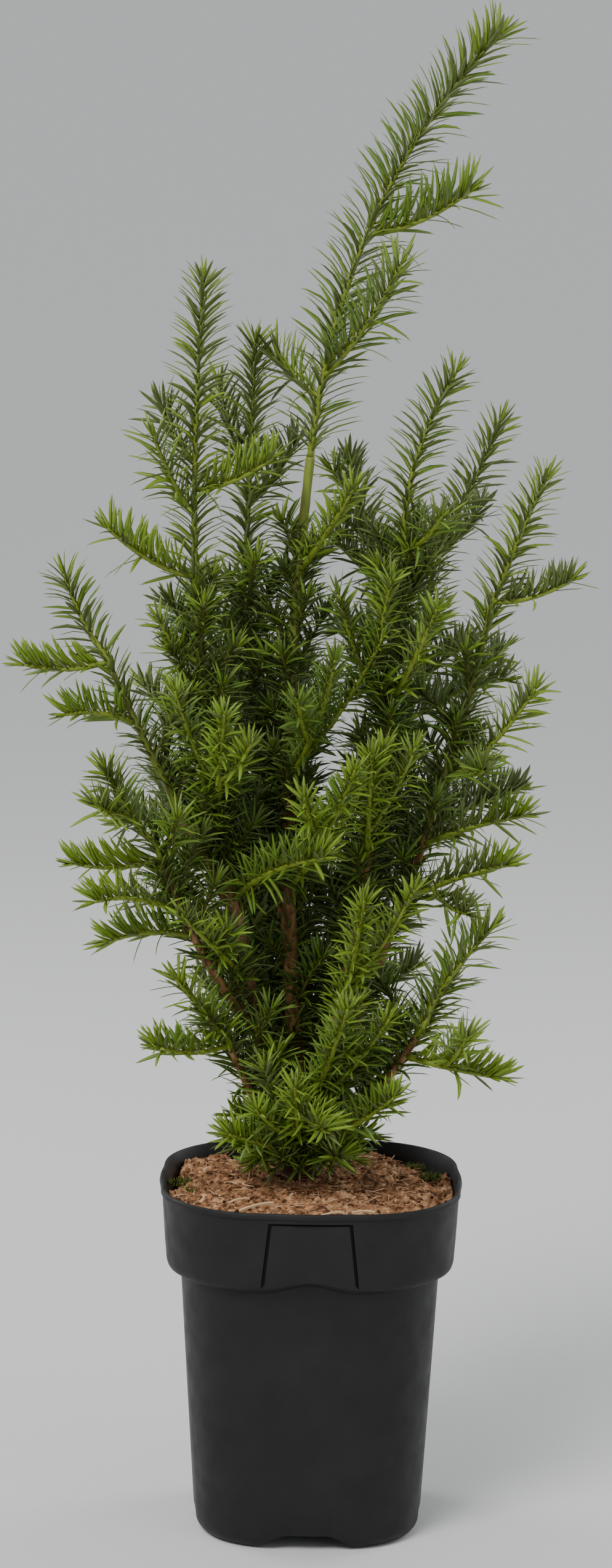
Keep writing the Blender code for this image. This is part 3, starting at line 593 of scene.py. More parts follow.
def point_at_height(line, z):
    """Where a rising line passes a height, or its end if it doesn't."""
    for low, high in zip(line, line[1:]):
        if low.z <= z <= high.z:
            share = (z - low.z) / (high.z - low.z)
            return low.lerp(high, share)
    return line[-1].copy()


def resampled(line, pitch):
    """The same line, rounded at its corners, with points a set distance apart."""
    count = max(2, round(length_of(line) / pitch))
    last = len(line) - 1
    smooth = []
    for i in range(count + 1):
        index, t = seat(i / count, len(line))
        a = line[max(index - 1, 0)]
        b, c = line[index], line[index + 1]
        d = line[min(index + 2, last)]
        smooth.append((b * 2 + (c - a) * t + (a * 2 - b * 5 + c * 4 - d) * t * t
                       + (b * 3 - a - c * 3 + d) * t ** 3) / 2)
    return smooth


def rod(line, radius, turns, broad=1.0):
    """A rod along a line, with corners at the given turns; broad widens it one way."""
    rings = []
    for point, (_, side, across) in zip(line, frames(line)):
        rings.append([point + (side * math.cos(a) * broad + across * math.sin(a)) * radius
                      for a in turns])
    return loft(rings)


# ---- pot
def turned(points, turn):
    """Points given for one side, turned round the pot's axis."""
    cos_turn, sin_turn = math.cos(turn), math.sin(turn)
    return [(x * cos_turn - y * sin_turn, x * sin_turn + y * cos_turn, z) for x, y, z in points]


def square_ring(half, corner, z, lift=0.0):
    """A rounded square with crowned sides; lift raises the middle of each side."""
    reach = half - corner
    quarter = []
    for i in range(1, SIDE_STEPS):
        across = -reach + 2 * reach * i / SIDE_STEPS
        crown = math.cos(math.pi / 2 * across / reach) ** 2
        quarter.append((half - SIDE_BULGE + SIDE_BULGE * crown, across, z + lift * crown))
    for cosine, sine in arc(CORNER_STEPS):
        quarter.append((reach + corner * cosine - SIDE_BULGE, reach + corner * sine - SIDE_BULGE, z))
    ring = []
    for number in range(4):
        ring += turned(quarter, math.radians(90 * number))
    return ring


def arch_shape():
    """The low arch between two feet, running in under the pot."""
    reach = ARCH_WIDTH / 2 * ARCH_SPREAD
    rings = []
    for y, height, narrow in ((-BODY_FOOT_HALF - ARCH_OUTSIDE, ARCH_MOUTH, 1.0),
                              (-BODY_FOOT_HALF + ARCH_DEPTH, *ARCH_END)):
        ring = []
        for i in range(ARCH_STEPS + 1):
            x = reach * (1 - 2 * i / ARCH_STEPS)
            climb = min(1.0, (1 - abs(x) / reach) / ARCH_CLIMB)
            ring.append((x * narrow, y, -0.2 + (height + 0.2) * climb * climb * (3 - 2 * climb)))
        ring += [(-reach * narrow, y, -GUIDE_DEPTH), (reach * narrow, y, -GUIDE_DEPTH)]
        rings.append(ring)
    return rings


def drain_shape():
    """One round drain hole through the floor."""
    centre_y = -BODY_FOOT_HALF + ARCH_DEPTH - DRAIN_INSET
    turns = [math.tau * (i + 0.5) / DRAIN_SIDES for i in range(DRAIN_SIDES)]
    return [[(DRAIN_RADIUS * math.cos(a), centre_y + DRAIN_RADIUS * math.sin(a), z) for a in turns]
            for z in (2.0, FLOOR_TOP + 6)]


def collar_wall(z):
    """How far the collar's wall lies from the pot's axis at a height."""
    slope = (COLLAR_TOP_HALF - COLLAR_FOOT_HALF) / (POT_HEIGHT - LIP_HEIGHT - COLLAR_FOOT_Z)
    return COLLAR_FOOT_HALF + slope * (z - COLLAR_FOOT_Z)


def panel_foot():
    """Half width and height of the panel's foot, carried on to below the collar."""
    widen = (PANEL_FOOT_WIDTH - PANEL_TOP_WIDTH) / PANEL_HEIGHT
    z = COLLAR_UNDER_Z - 2.0
    return (PANEL_TOP_WIDTH + widen * (PANEL_TOP_Z - z)) / 2, z


def panel_shape():
    """The shallow trapezoid field in the collar, with sloping side walls."""
    foot, foot_z = panel_foot()
    top = PANEL_TOP_WIDTH / 2
    rings = []
    for out, spread in ((GUIDE_DEPTH, PANEL_SLANT * 2), (-PANEL_DEPTH, -PANEL_SLANT)):
        top_z = PANEL_TOP_Z + spread / 2
        corners = ((-foot - spread, foot_z), (foot + spread, foot_z),
                   (top + spread, top_z), (-top - spread, top_z))
        rings.append([(x, -collar_wall(z) - out, z) for x, z in corners])
    return rings


def groove_shape():
    """A narrow channel just inside the panel's sides and top."""
    foot, foot_z = panel_foot()
    top = PANEL_TOP_WIDTH / 2
    path = ((-foot, foot_z), (-top, PANEL_TOP_Z), (top, PANEL_TOP_Z), (foot, foot_z))
    inward = ((1.0, 0.1), (0.8, -0.9), (-0.8, -0.9), (-1.0, 0.1))
    section = ((-0.15, -GUIDE_DEPTH), (GROOVE_MOUTH, -GUIDE_DEPTH), (1.0, GROOVE_DEPTH * 0.7),
               (0.15, GROOVE_DEPTH))
    rings = []
    for (x, z), (in_x, in_z) in zip(path, inward):
        places = [(GROOVE_WIDTH * share, depth) for share, depth in section]
        rings.append([(x + in_x * shift, -collar_wall(z) + depth, z + in_z * shift)
                      for shift, depth in places])
    return rings


def closed_piece(name, rings, materials=()):
    """A closed piece with its sides facing out."""
    made = mesh_piece(name, *loft(rings), materials)
    sides = bmesh.new()
    sides.from_mesh(made.data)
    bmesh.ops.recalc_face_normals(sides, faces=sides.faces)
    sides.to_mesh(made.data)
    sides.free()
    return made


def guides_for_pot():
    """The shapes that are cut out of the pot, on the sides where they belong."""
    cuts = []
    for side in range(4):
        cuts += [(side, arch_shape(), ()), (side, drain_shape(), ())]
    for side in (0, 2):
        # The groove's faces take a painted shade, darker than the plastic, for the shadow in the
        # channel.
        shade = plain("groove_shade", GROOVE_PAINTED_SHADE, 0.8, 0.1)
        cuts += [(side, panel_shape(), ()), (side, groove_shape(), (shade,))]
    return [closed_piece("guide", [turned(ring, math.radians(90 * side)) for ring in rings], materials)
            for side, rings, materials in cuts]


def pot_rings():
    """The pot's wall from the middle of its underside, up over the rim and down inside."""
    rings = []
    for cosine, sine in arc(6):
        inset = EDGE_ROUND * (1 - sine)
        rings.append(square_ring(BODY_FOOT_HALF - inset, BODY_CORNER - inset,
                                 EDGE_ROUND * (1 - cosine)))
    for share in (0.25, 0.5, 0.75, 1.0):
        half = BODY_FOOT_HALF + (BODY_TOP_HALF - BODY_FOOT_HALF) * share
        z = EDGE_ROUND + (COLLAR_UNDER_Z - EDGE_ROUND) * share
        rings.append(square_ring(half, BODY_CORNER + BODY_CORNER_GAIN * share, z,
                                 COLLAR_LIFT * share ** 3))
    for cosine, sine in arc(5):
        half = COLLAR_FOOT_HALF - COLLAR_ROUND + COLLAR_ROUND * sine
        rise = COLLAR_CURL[0] + COLLAR_CURL[1] * (1 - cosine)
        if sine == 0:
            half -= COLLAR_TUCK[0]
            rise -= COLLAR_TUCK[1]
        rings.append(square_ring(half, RIM_CORNER - 4 + 3 * sine, COLLAR_UNDER_Z + rise, COLLAR_LIFT))
    rings.append(square_ring(COLLAR_TOP_HALF, RIM_CORNER, POT_HEIGHT - LIP_HEIGHT))
    rings.append(square_ring(RIM_HALF, RIM_CORNER, POT_HEIGHT - LIP_HEIGHT + LIP_RISE))
    for cosine, sine in arc(4, 180):
        half = RIM_HALF - 0.4 - WALL / 2 + WALL / 2 * cosine
        rings.append(square_ring(half, RIM_CORNER - (RIM_HALF - half),
                                 POT_HEIGHT - LIP_ROUND + LIP_ROUND * sine))
    for half, corner, z in ((COLLAR_TOP_HALF - COLLAR_WALL, RIM_CORNER - COLLAR_WALL, INNER_TOP_Z),
                            (COLLAR_FOOT_HALF - COLLAR_WALL, RIM_CORNER - COLLAR_WALL, COLLAR_FOOT_Z),
                            (BODY_TOP_HALF - WALL, BODY_CORNER + BODY_CORNER_GAIN - WALL,
                             COLLAR_UNDER_Z + 5),
                            (BODY_FOOT_HALF - WALL, BODY_CORNER - WALL, FLOOR_TOP + 4),
                            (BODY_FOOT_HALF - WALL - 3, BODY_CORNER - WALL - 3, FLOOR_TOP)):
        rings.append(square_ring(half, corner, z))
    return rings


def make_pot():
    """The pot's shell, cut by its guides, with its edges softened."""
    pot = closed_piece("pot_shell", pot_rings(), (pot_plastic(),))
    guides = guides_for_pot()
    for guide in guides:
        change = pot.modifiers.new("cut", 'BOOLEAN')
        change.operation = 'DIFFERENCE'
        change.material_mode = 'TRANSFER'
        change.object = guide
    edges = pot.modifiers.new("edges", 'BEVEL')
    edges.width = POT_BEVEL * MM
    edges.segments = 2
    edges.limit_method = 'ANGLE'
    edges.angle_limit = math.radians(32)
    graph = bpy.context.evaluated_depsgraph_get()
    done = bpy.data.meshes.new_from_object(pot.evaluated_get(graph))
    pot.modifiers.clear()
    pot.data = done
    for guide in guides:
        bpy.data.objects.remove(guide, do_unlink=True)
    done.polygons.foreach_set("use_smooth", [True] * len(done.polygons))
    done.set_sharp_from_angle(angle=math.radians(40))
    ride(pot, ("pot",))


# ---- soil
def soil_height(x, y, share):
    """Height of the soil's crumbly top at a place; share runs from the middle out."""
    z = SOIL_EDGE_Z + (SOIL_TOP_Z - SOIL_EDGE_Z) * min(1.0, (1 - share) * SOIL_RISE)
    for seat, pitch, height in SOIL_LAYERS:
        z += noise.noise(Vector((x, y, seat)) * pitch) * height
    if share > GULLY_FROM:
        worn = noise.noise(Vector((x, y, 21.0)) * 0.03 + Vector((x / 160, 0, 0)))
        z -= max(0.0, worn + 0.18) * GULLY_DEPTH * (share - GULLY_FROM) / (1 - GULLY_FROM)
    return z


def soil_ring(half, corner):
    """The soil's outline with its edges cut finely enough for crumbs."""
    coarse = [Vector(p) for p in square_ring(half, corner, 0.0)]
    return [a.lerp(b, i / SOIL_EDGE_CUTS) for a, b in zip(coarse, coarse[1:] + coarse[:1])
            for i in range(SOIL_EDGE_CUTS)]


def make_soil():
    """The soil's surface, its sides and a closed underside."""
    side = COLLAR_TOP_HALF - COLLAR_WALL - SOIL_CLEARANCE
    foot = soil_ring(side - 1, RIM_CORNER - 4)
    rings = [[(x, y, SOIL_EDGE_Z - SOIL_SIDE) for x, y, _ in foot]]
    outline = soil_ring(side, RIM_CORNER - COLLAR_WALL)
    for level in range(SOIL_RINGS):
        share = 1 - level / SOIL_RINGS
        rings.append([(x * share, y * share, soil_height(x * share, y * share, share))
                      for x, y, _ in outline])
    soil = mesh_piece("soil_surface", *loft(rings), (soil_material(),))
    ride(soil, ("soil",))
    make_soil_litter(side)


def soil_spot(draw, side):
    """A random place on the soil, and the soil's height there."""
    while True:
        x = draw.uniform(-side, side)
        y = draw.uniform(-side, side)
        corner = RIM_CORNER - COLLAR_WALL
        inner = side - corner
        past = Vector((max(abs(x) - inner, 0), max(abs(y) - inner, 0)))
        if past.length < corner - 3:
            share = max(abs(x), abs(y), past.length + inner) / side
            return Vector((x, y, soil_height(x, y, share)))


def chip(draw, spot, length, width, height):
    """One flake of bark: an uneven wedge, lying nearly flat."""
    turn = Matrix.Rotation(draw.uniform(0, math.tau), 3, 'Z')
    tilt = Matrix.Rotation(draw.gauss(0, 0.35), 3, 'X') @ Matrix.Rotation(draw.gauss(0, 0.3), 3, 'Y')
    rings = []
    for z, shrink in ((-0.4, 1.0), (0.6, 0.75)):
        ring = []
        for x, y in CHIP_OUTLINE:
            corner = Vector((x * length / 2 * shrink * draw.uniform(0.75, 1.15),
                             y * width / 2 * shrink * draw.uniform(0.75, 1.15),
                             z * height))
            ring.append(spot + turn @ tilt @ corner)
        rings.append(ring)
    return loft(rings)


def fibre(draw, spot, length, radius):
    """One fibre: a thin bent rod that rises and dips over the soil."""
    way = outward(draw.uniform(0, math.tau), draw.gauss(0.05, 0.12))
    bend = Vector((-way.y, way.x, 0)) * draw.gauss(0, 0.25) + UP * draw.uniform(-0.1, 0.25)
    line = curve_through(spot, spot + (way + bend) * length / 2, spot + way * length, 5)
    return rod(line, radius, (0, math.tau / 3, 2 * math.tau / 3))


# Least and most of each; a chip's width is a share of its length.
CHIP_LENGTHS = (1.2, 4.8)
CHIP_WIDTHS = (0.3, 0.6)
CHIP_HEIGHTS = (0.6, 1.6)
FIBRE_LENGTHS = (4, 13)
FIBRE_RADII = (0.12, 0.3)
CHIP_OUTLINE = ((-1, -0.6), (0.1, -1), (1, -0.3), (0.8, 0.7), (-0.7, 0.9))
LITTER = (
    # name, colour, chips, fibres
    ("dark", linear(82, 54, 34), 420, 160),
    ("brown", linear(136, 97, 66), 460, 320),
    ("russet", linear(166, 119, 84), 340, 320),
    ("tan", linear(212, 176, 138), 110, 260),
)
SPLINTERS = (
    # from, to, radius: the longest pale slivers
    ((-38, -66, 190.5), (-20, -56, 192.5), 0.7),
    ((-44, -50, 190.5), (-33, -46, 192.0), 0.5),
    ((22, -66, 190.0), (34, -70, 191.5), 0.6),
    ((4, -72, 189.5), (18, -69, 191.0), 0.5),
)
MOSS = ((-70, 8, 185.5, 8.0), (-66, -8, 185.5, 6.0), (66, 22, 186.0, 7.0), (58, 44, 186.0, 6.0))
MOSS_BLADES = 90


def make_soil_litter(side):
    """Chips and fibres over the soil, one piece for each colour."""
    draw = random.Random("soil litter")
    for name, colour, chips, fibres in LITTER:
        shapes = []
        for _ in range(chips):
            length = draw.uniform(*CHIP_LENGTHS)
            shapes.append(chip(draw, soil_spot(draw, side), length,
                               length * draw.uniform(*CHIP_WIDTHS), draw.uniform(*CHIP_HEIGHTS)))
        for _ in range(fibres):
            spot = soil_spot(draw, side - 8) + UP * 0.2
            shapes.append(fibre(draw, spot, draw.uniform(*FIBRE_LENGTHS), draw.uniform(*FIBRE_RADII)))
        if name == "tan":
            for start, end, radius in SPLINTERS:
                line = curve_through(start, (Vector(start) + Vector(end)) / 2 + UP, end, 4)
                shapes.append(rod(line, radius, (0.4, 1.9, 3.5, 5.0), 1.2))
        litter = mesh_piece("soil_litter_" + name, *gather(shapes),
                            (plain("litter_" + name, colour, 0.9, 0.2),), smooth=False)
        ride(litter, ("soil",))
    make_moss(draw)


def make_moss(draw):
    """Small tufts of moss by the rim."""
    tufts = []
    for x, y, z, spread in MOSS:
        for _ in range(MOSS_BLADES):
            angle, far = draw.uniform(0, math.tau), spread * math.sqrt(draw.random())
            foot = Vector((x + far * math.cos(angle), y + far * math.sin(angle), z))
            tip = foot + Vector((draw.gauss(0, 0.8), draw.gauss(0, 0.8), draw.uniform(1.5, 3.6)))
            width = draw.uniform(0.4, 0.8)
            ring = [foot + outward(a) * width for a in (0, 2.1, 4.2)]
            tufts.append((ring + [tip], [(0, 1, 3), (1, 2, 3), (2, 0, 3), (2, 1, 0)]))
    moss = mesh_piece("soil_moss", *gather(tufts), (plain("moss", linear(74, 86, 30), 0.9, 0.2),))
    ride(moss, ("soil",))


# ---- limbs
@dataclass
class Limb:
    """The trunk or a stem: its line and its radii."""

    line: list
    radii: list

    def radius_at(self, share):
        index, past = seat(share, len(self.radii))
        return self.radii[index] + (self.radii[index + 1] - self.radii[index]) * past


def trunk_limb():
    foot = Vector((*TRUNK_FOOT, SOIL_TOP_Z + GAP))
    top = Vector((*TRUNK_TOP, TRUNK_TOP_Z))
    line = [foot.lerp(top, share) for share, _ in TRUNK_RADII]
    return Limb(line, [radius for _, radius in TRUNK_RADII])


def side_foot(carrier, height, towards):
    """The point on the carrier's side, at a height, that faces a place."""
    centre = point_at_height(carrier.line, height)
    outward = Vector(towards) - centre
    outward.z = 0.0
    nearest = min(range(len(carrier.line)), key=lambda i: abs(carrier.line[i].z - height))
    return centre + outward.normalized() * carrier.radii[nearest]


def stem_limb(row, limbs):
    """A stem's line, the solid's own; where it is dressed it starts inside its carrier."""
    name, parent, height, middle, tip, foot_radius, tip_radius = row
    carrier = limbs[parent]
    if height is None:
        foot = carrier.line[-1] + UP * GAP
        line = curve_through(foot, middle, tip, STEM_STEPS)
        line.insert(1, foot + UP * 3.0)
    else:
        foot = side_foot(carrier, height, middle)
        line = curve_through(foot, middle, tip, STEM_STEPS)
    last = len(line) - 1
    radii = [foot_radius + (tip_radius - foot_radius) * i / last for i in range(last + 1)]
    return Limb(line, radii)


def bark_relief(name, u, turn, radius):
    """How far the bark stands out at a distance u along a limb and a turn round it."""
    seat = Vector((math.cos(turn) * 1.6, math.sin(turn) * 1.6, u * 0.05))
    furrow = noise.noise(seat * 1.7 + Vector((0, 0, len(name))))
    flake = noise.noise(Vector((math.cos(turn) * 3, math.sin(turn) * 3, u * 0.28)))
    return radius * (0.1 * furrow + 0.06 * flake)


def dress_limb(name, limb, foot, materials):
    """A bark skin over a limb; foot leads it on from inside its carrier."""
    start = limb.line[0]
    own = resampled(limb.line, BARK_PITCH)
    lead = [foot.lerp(start, i / LEAD_STEPS) for i in range(LEAD_STEPS)]
    line = lead + own
    trunk = name == "trunk"
    sides = TRUNK_SIDES if trunk else STEM_SIDES
    rings, indices = [], []
    travelled = 0.0
    for index, (point, (_, side, across)) in enumerate(zip(line, frames(line))):
        share = max(0.0, (index - len(lead)) / (len(own) - 1))
        radius = limb.radius_at(share)
        if index:
            travelled += (point - line[index - 1]).length
            young = 1 if point.z > YOUNG_BARK_Z + 30 * noise.noise(point * 0.05) else 0
            indices += [young] * sides
        swell = 1.0 if trunk else 1 + STEM_SWELL * math.exp(-travelled / SWELL_FADE)
        ring = []
        for i in range(sides):
            turn = math.tau * i / sides
            flare = 1.0
            if trunk:
                lobe = math.cos(ROOT_LOBES * turn + 0.7)
                flare = 1 + ROOT_FLARE * math.exp(-travelled / FLARE_FADE) * lobe
            out = radius * swell * flare + bark_relief(name, travelled, turn, radius)
            ring.append(point + swung(side, across, turn) * out)
        rings.append(ring)
    piece = mesh_piece("bark_" + name, *loft(rings), materials, indices + [0, 1])
    ride(piece, (name,))


def make_limbs():
    """All limbs, each with its bark, which starts inside the limb that carries it."""
    limbs = {"trunk": trunk_limb()}
    barks = (bark_material(), young_bark_material())
    dress_limb("trunk", limbs["trunk"], limbs["trunk"].line[0] - UP * 3, barks)
    for row in STEMS:
        name, parent, height = row[:3]
        limbs[name] = stem_limb(row, limbs)
        inside = limbs[parent].line[-1] - UP * 4
        if height is not None:
            inside = point_at_height(limbs[parent].line, height - 4)
        dress_limb(name, limbs[name], inside, barks)
    return limbs


# ---- shoots
@dataclass
class Shoot:
    """A twig with its needles: its line, its radii and how they grow on it."""

    line: list
    foot_radius: float
    tip_radius: float
    age: float  # 0 is the youngest; older needles are deeper and droop more
    bare: float = 5.0  # distance from its foot to the first needle
    needle_share: float = COMMON_NEEDLE
    bare_heights: tuple = (0.0, 0.0)

    def radius_at(self, share):
        return self.foot_radius + (self.tip_radius - self.foot_radius) * share


def twig_line(foot, tip, bow):
    """A line from foot to tip whose middle is moved by the bow."""
    steps = max(2, round((Vector(tip) - Vector(foot)).length / LINE_PITCH))
    middle = (Vector(foot) + Vector(tip)) / 2 + Vector(bow)
    return curve_through(foot, middle, tip, steps)


def clear_of(line, carrier):
    """The line without its first stretch, which lies inside its carrier."""
    centre = line[0]
    keep = [p for p in line if (p - centre).length > carrier.radii[0] * 0.5 + 2]
    return [centre.lerp(keep[0], 0.3)] + keep


def mass_shoots(row, limbs):
    """The stem of a mass and its side twigs, as in the solids."""
    name, carrier_name, height, bow, tip, sides = row
    carrier = limbs[carrier_name]
    if height is None:
        heading = directions(carrier.line)[-1]
        foot = carrier.line[-1]
        line = twig_line(foot, tip, bow)
        line[1] = foot + heading * (line[1] - foot).length
    else:
        foot = point_at_height(carrier.line, height)
        line = clear_of(twig_line(foot, tip, bow), carrier)
    if name == "leader":
        line.append(line[-1] + directions(line)[-1] * LEADER_ON)
    stem = Shoot(line, CORE_FOOT, CORE_TIP, 0.0, 3.0 if height is None else 5.0)
    shoots = [stem]
    for share, side_tip in sides:
        foot = along(stem.line, share)
        sag = UP * (-TWIG_SAG * (Vector(side_tip) - foot).length)
        shoots.append(Shoot(twig_line(foot, side_tip, sag), TWIG_FOOT, CORE_TIP, 0.0))
    return shoots


def sprig_shoots(name, mothers):
    """Short side sprigs by the solids' seeded rule."""
    draw = random.Random(name)
    for twig in mothers:
        count = int(length_of(twig.line) / SPRIG_SPACING)
        turn = draw.uniform(0, math.tau)
        for i in range(count):
            share = (i + 0.7) / (count + 0.6)
            turn += GOLDEN_TURN
            way, side, across = frame_at(twig.line, share)
            out = swung(side, across, turn)
            aim = swung(way, out, math.radians(SPRIG_ANGLE)) + UP * SPRIG_LIFT
            foot = along(twig.line, share)
            tip = foot + aim.normalized() * SPRIG_LENGTH * draw.uniform(0.8, 1.15)
            yield Shoot(twig_line(foot, tip, UP * 2.0), SPRIG_FOOT, SPRIG_TIP, 0.1)


def depth_in_crown(point):
    """1 at the heart of the crown, 0 at the egg's skin and less outside it."""
    return 1 - Vector([a / b for a, b in zip(point - HEART, HEART_REACH)]).length


def fine_shoots(name, mothers):
    """Finer shoots on alternate sides, close together only in the crown's heart."""
    draw = random.Random(name + " fine")
    for twig in mothers:
        count = int(length_of(twig.line) / FINE_SPACING)
        for i in range(1, count):
            share = i / count
            foot = along(twig.line, share)
            chance = FINE_CHANCE + FINE_CHANCE_GAIN * depth_in_crown(foot)
            hand = 1 if i % 2 else -1
            length = FINE_LENGTH * draw.uniform(0.6, 1.1) * (1 - 0.35 * share)
            lean = math.radians(FINE_ANGLE + draw.gauss(0, 8))
            tilt = draw.gauss(0.35, 0.3)
            if draw.random() > chance:
                continue
            way = frame_at(twig.line, share)[0]
            flat = way.cross(UP)
            if flat.length < 0.3:
                flat = outward(i * GOLDEN_TURN)
            out = (flat.normalized() * hand + UP * tilt).normalized()
            tip = foot + swung(way, out, lean).normalized() * length
            yield Shoot(twig_line(foot, tip, UP * 1.5), 1.0, 0.6, 0.25, 3.0)


def spur_shoots(name, limb):
    """Short leafy shoots straight from the older stems, which fill the crown's heart."""
    draw = random.Random(name + " spurs")
    count = int(length_of(limb.line) / SPUR_SPACING)
    turn = draw.uniform(0, math.tau)
    for i in range(count):
        share = (i + 0.5) / count
        turn += GOLDEN_TURN + draw.gauss(0, 0.3)
        foot = along(limb.line, share)
        length = SPUR_LENGTH * draw.uniform(0.6, 1.25)
        lift = draw.uniform(*SPUR_LIFTS)
        if not SPUR_LOWEST_Z < foot.z < SPUR_HIGHEST_Z:
            continue
        if foot.z < BARE_BELOW.get(name, OTHERS_BARE_BELOW) and math.sin(turn) < 0:
            continue
        out = outward(turn, lift).normalized()
        if depth_in_crown(foot + out * length) < -0.05:
            continue
        yield Shoot(twig_line(foot, foot + out * length, UP * 2), 1.1, 0.6, 0.45, 6.0)


def skirt_shoots(trunk):
    """Short leafy shoots that hide the trunk's foot: an apron, then a skirt above it."""
    draw = random.Random("skirt")
    low, high = SKIRT_HEIGHTS
    places = []
    for i in range(APRON_COUNT):
        lower = i % 2
        places.append((math.pi * (1 + (i + 0.5) / APRON_COUNT), APRON_Z - 7 * lower,
                       APRON_LIFT + 0.04 * lower))
    for i in range(SKIRT_COUNT):
        share = i / (SKIRT_COUNT - 1)
        places.append((i * GOLDEN_TURN, low + (high - low) * share, 0.1 + 0.7 * share))
    for turn, z, lift in places:
        foot = point_at_height(trunk.line, z)
        lift += draw.gauss(0, 0.06)
        out = outward(turn, lift).normalized()
        tip = foot + out * SKIRT_LENGTH * draw.uniform(0.8, 1.2)
        yield Shoot(twig_line(foot, tip, UP * 1.5), 1.2, 0.7, 0.1, 9.0, TUFT_NEEDLE)


def leafy_stretch(name, limb):
    """The upper part of a stem, which still carries needles of its own."""
    lowest = BARE_BELOW.get(name, OTHERS_BARE_BELOW)
    line = [p for p in resampled(limb.line, 6.0) if p.z > lowest]
    if len(line) < 4:
        return None
    start = (line[0].z - limb.line[0].z) / (limb.line[-1].z - limb.line[0].z)
    return Shoot(line, limb.radius_at(start), limb.radii[-1], 0.5, 2.0, COMMON_NEEDLE, BARE_STRETCH)


def colour_class(shoot, draw):
    """Which needle colour a shoot gets: bright at the outside, deep within."""
    tip = shoot.line[-1]
    depth = max(0.0, depth_in_crown(tip))
    score = 0.5 + shoot.age * 1.4 + depth * 2.2 + draw.gauss(0, 0.5)
    return min(max(int(round(score)), 0), len(NEEDLE_COLOURS) - 1)


# ---- needles
def needle_pattern():
    """The faces of one needle, as point numbers, with the tone of each face."""
    pattern, tones = [(3, 2, 1, 0)], ["foot"]
    levels = len(NEEDLE_WIDTHS)
    for level in range(levels - 1):
        for side in range(4):
            a, b = level * 4 + side, level * 4 + (side + 1) % 4
            pattern.append((a, b, b + 4, a + 4))
            tones.append("under" if side > 1 else ("foot" if level == 0 else "own"))
    top = (levels - 1) * 4
    for side in range(4):
        pattern.append((top + side, top + (side + 1) % 4, top + 4))
        tones.append("under" if side > 1 else "own")
    return pattern, tones


def needle_piece(name, needles, materials):
    """A blade of keeled cross-section for each needle, all in one mesh."""
    roots, first, last, face, lengths, widths, colours = zip(*needles)
    spine, first, last, face = (np.array([tuple(v) for v in column])
                                for column in (roots, first, last, face))
    lengths = np.array(lengths)[:, None]
    widths = np.array(widths)[:, None]
    before = 0.0
    rings = []
    for place, station in enumerate(NEEDLE_STATIONS):
        middle = (before + station) / 2
        way = first * (1 - middle) + last * middle
        way /= np.linalg.norm(way, axis=1, keepdims=True)
        spine = spine + way * lengths * (station - before)
        before = station
        if place == len(NEEDLE_WIDTHS):
            rings.append(spine[:, None, :])
            break
        across = np.cross(way, face)
        across /= np.maximum(np.linalg.norm(across, axis=1, keepdims=True), 1e-6)
        normal = np.cross(across, way)
        half = widths * NEEDLE_WIDTHS[place] / 2
        thick = NEEDLE_THICKNESS / 2 * (0.6 + 0.4 * NEEDLE_WIDTHS[place])
        rings.append(np.stack([spine - across * half, spine + normal * thick,
                               spine + across * half, spine - normal * thick], axis=1))
    points = np.concatenate(rings, axis=1)
    pattern, tones = needle_pattern()
    foot = len(NEEDLE_COLOURS)
    faces, indices = [], []
    for number, colour in enumerate(colours):
        start = number * points.shape[1]
        tone_index = {"own": colour, "foot": foot, "under": foot + 1}
        faces += [tuple(start + p for p in corners) for corners in pattern]
        indices += [tone_index[tone] for tone in tones]
    return mesh_piece(name, points.reshape(-1, 3), faces, materials, indices)


def side_needle(shoot, rows, share, turn, colour, draw):
    """One needle of a shoot's spiral, or None where there isn't one; on a level shoot it combs up."""
    way, side, across = rows[seat(share, len(rows))[0]]
    point = along(shoot.line, share)
    out = swung(side, across, turn)
    level = math.sqrt(max(0.0, 1 - way.z * way.z))
    if out.z < THIN_BELOW and draw.random() < THINNING * level:
        return None
    up_across = UP - way * way.z
    out = (out + up_across * (COMB_ALWAYS + COMB_LEVEL * level)).normalized()
    near_tip = max(0.0, share - (1 - TIP_STRETCH)) / TIP_STRETCH
    lean = NEEDLE_LEAN + (NEEDLE_LEAN_TIP - NEEDLE_LEAN) * near_tip + draw.gauss(0, 4)
    curl = NEEDLE_RECURVE * (1 - 0.6 * near_tip) * draw.uniform(0.4, 1.5)
    first = swung(way, out, math.radians(lean - curl))
    droop = UP * (-NEEDLE_DROOP * draw.random() * (0.4 + shoot.age))
    last = swung(way, out, math.radians(lean + curl)) + droop
    length = NEEDLE_LENGTH * draw.uniform(0.86, 1.14) * (1 - 0.18 * near_tip)
    length *= shoot.needle_share
    roll = draw.gauss(0, 0.5)
    shown = way.cross(UP)
    if shown.dot(point - CROWN_BACK) < 0:
        shown.negate()
    facing = way * (1 - 0.6 * level) + UP * 0.6 * level + shown * 0.9 * max(0.0, out.z)
    facing = Matrix.Rotation(roll, 3, (first + last).normalized()) @ facing
    tip = point + (first + last) / 2 * length
    if min(tip.z, point.z) < LOWEST_NEEDLE_Z or tip.z > HIGHEST_Z + TOP_NEEDLES:
        return None
    if shoot.bare_heights[0] < point.z < shoot.bare_heights[1]:
        return None
    tone = max(0, colour - 1) if near_tip > 0.55 else colour
    root = point + out * shoot.radius_at(share) * 0.7
    return root, first, last, facing, length, NEEDLE_WIDTH * draw.uniform(0.82, 1.15), tone


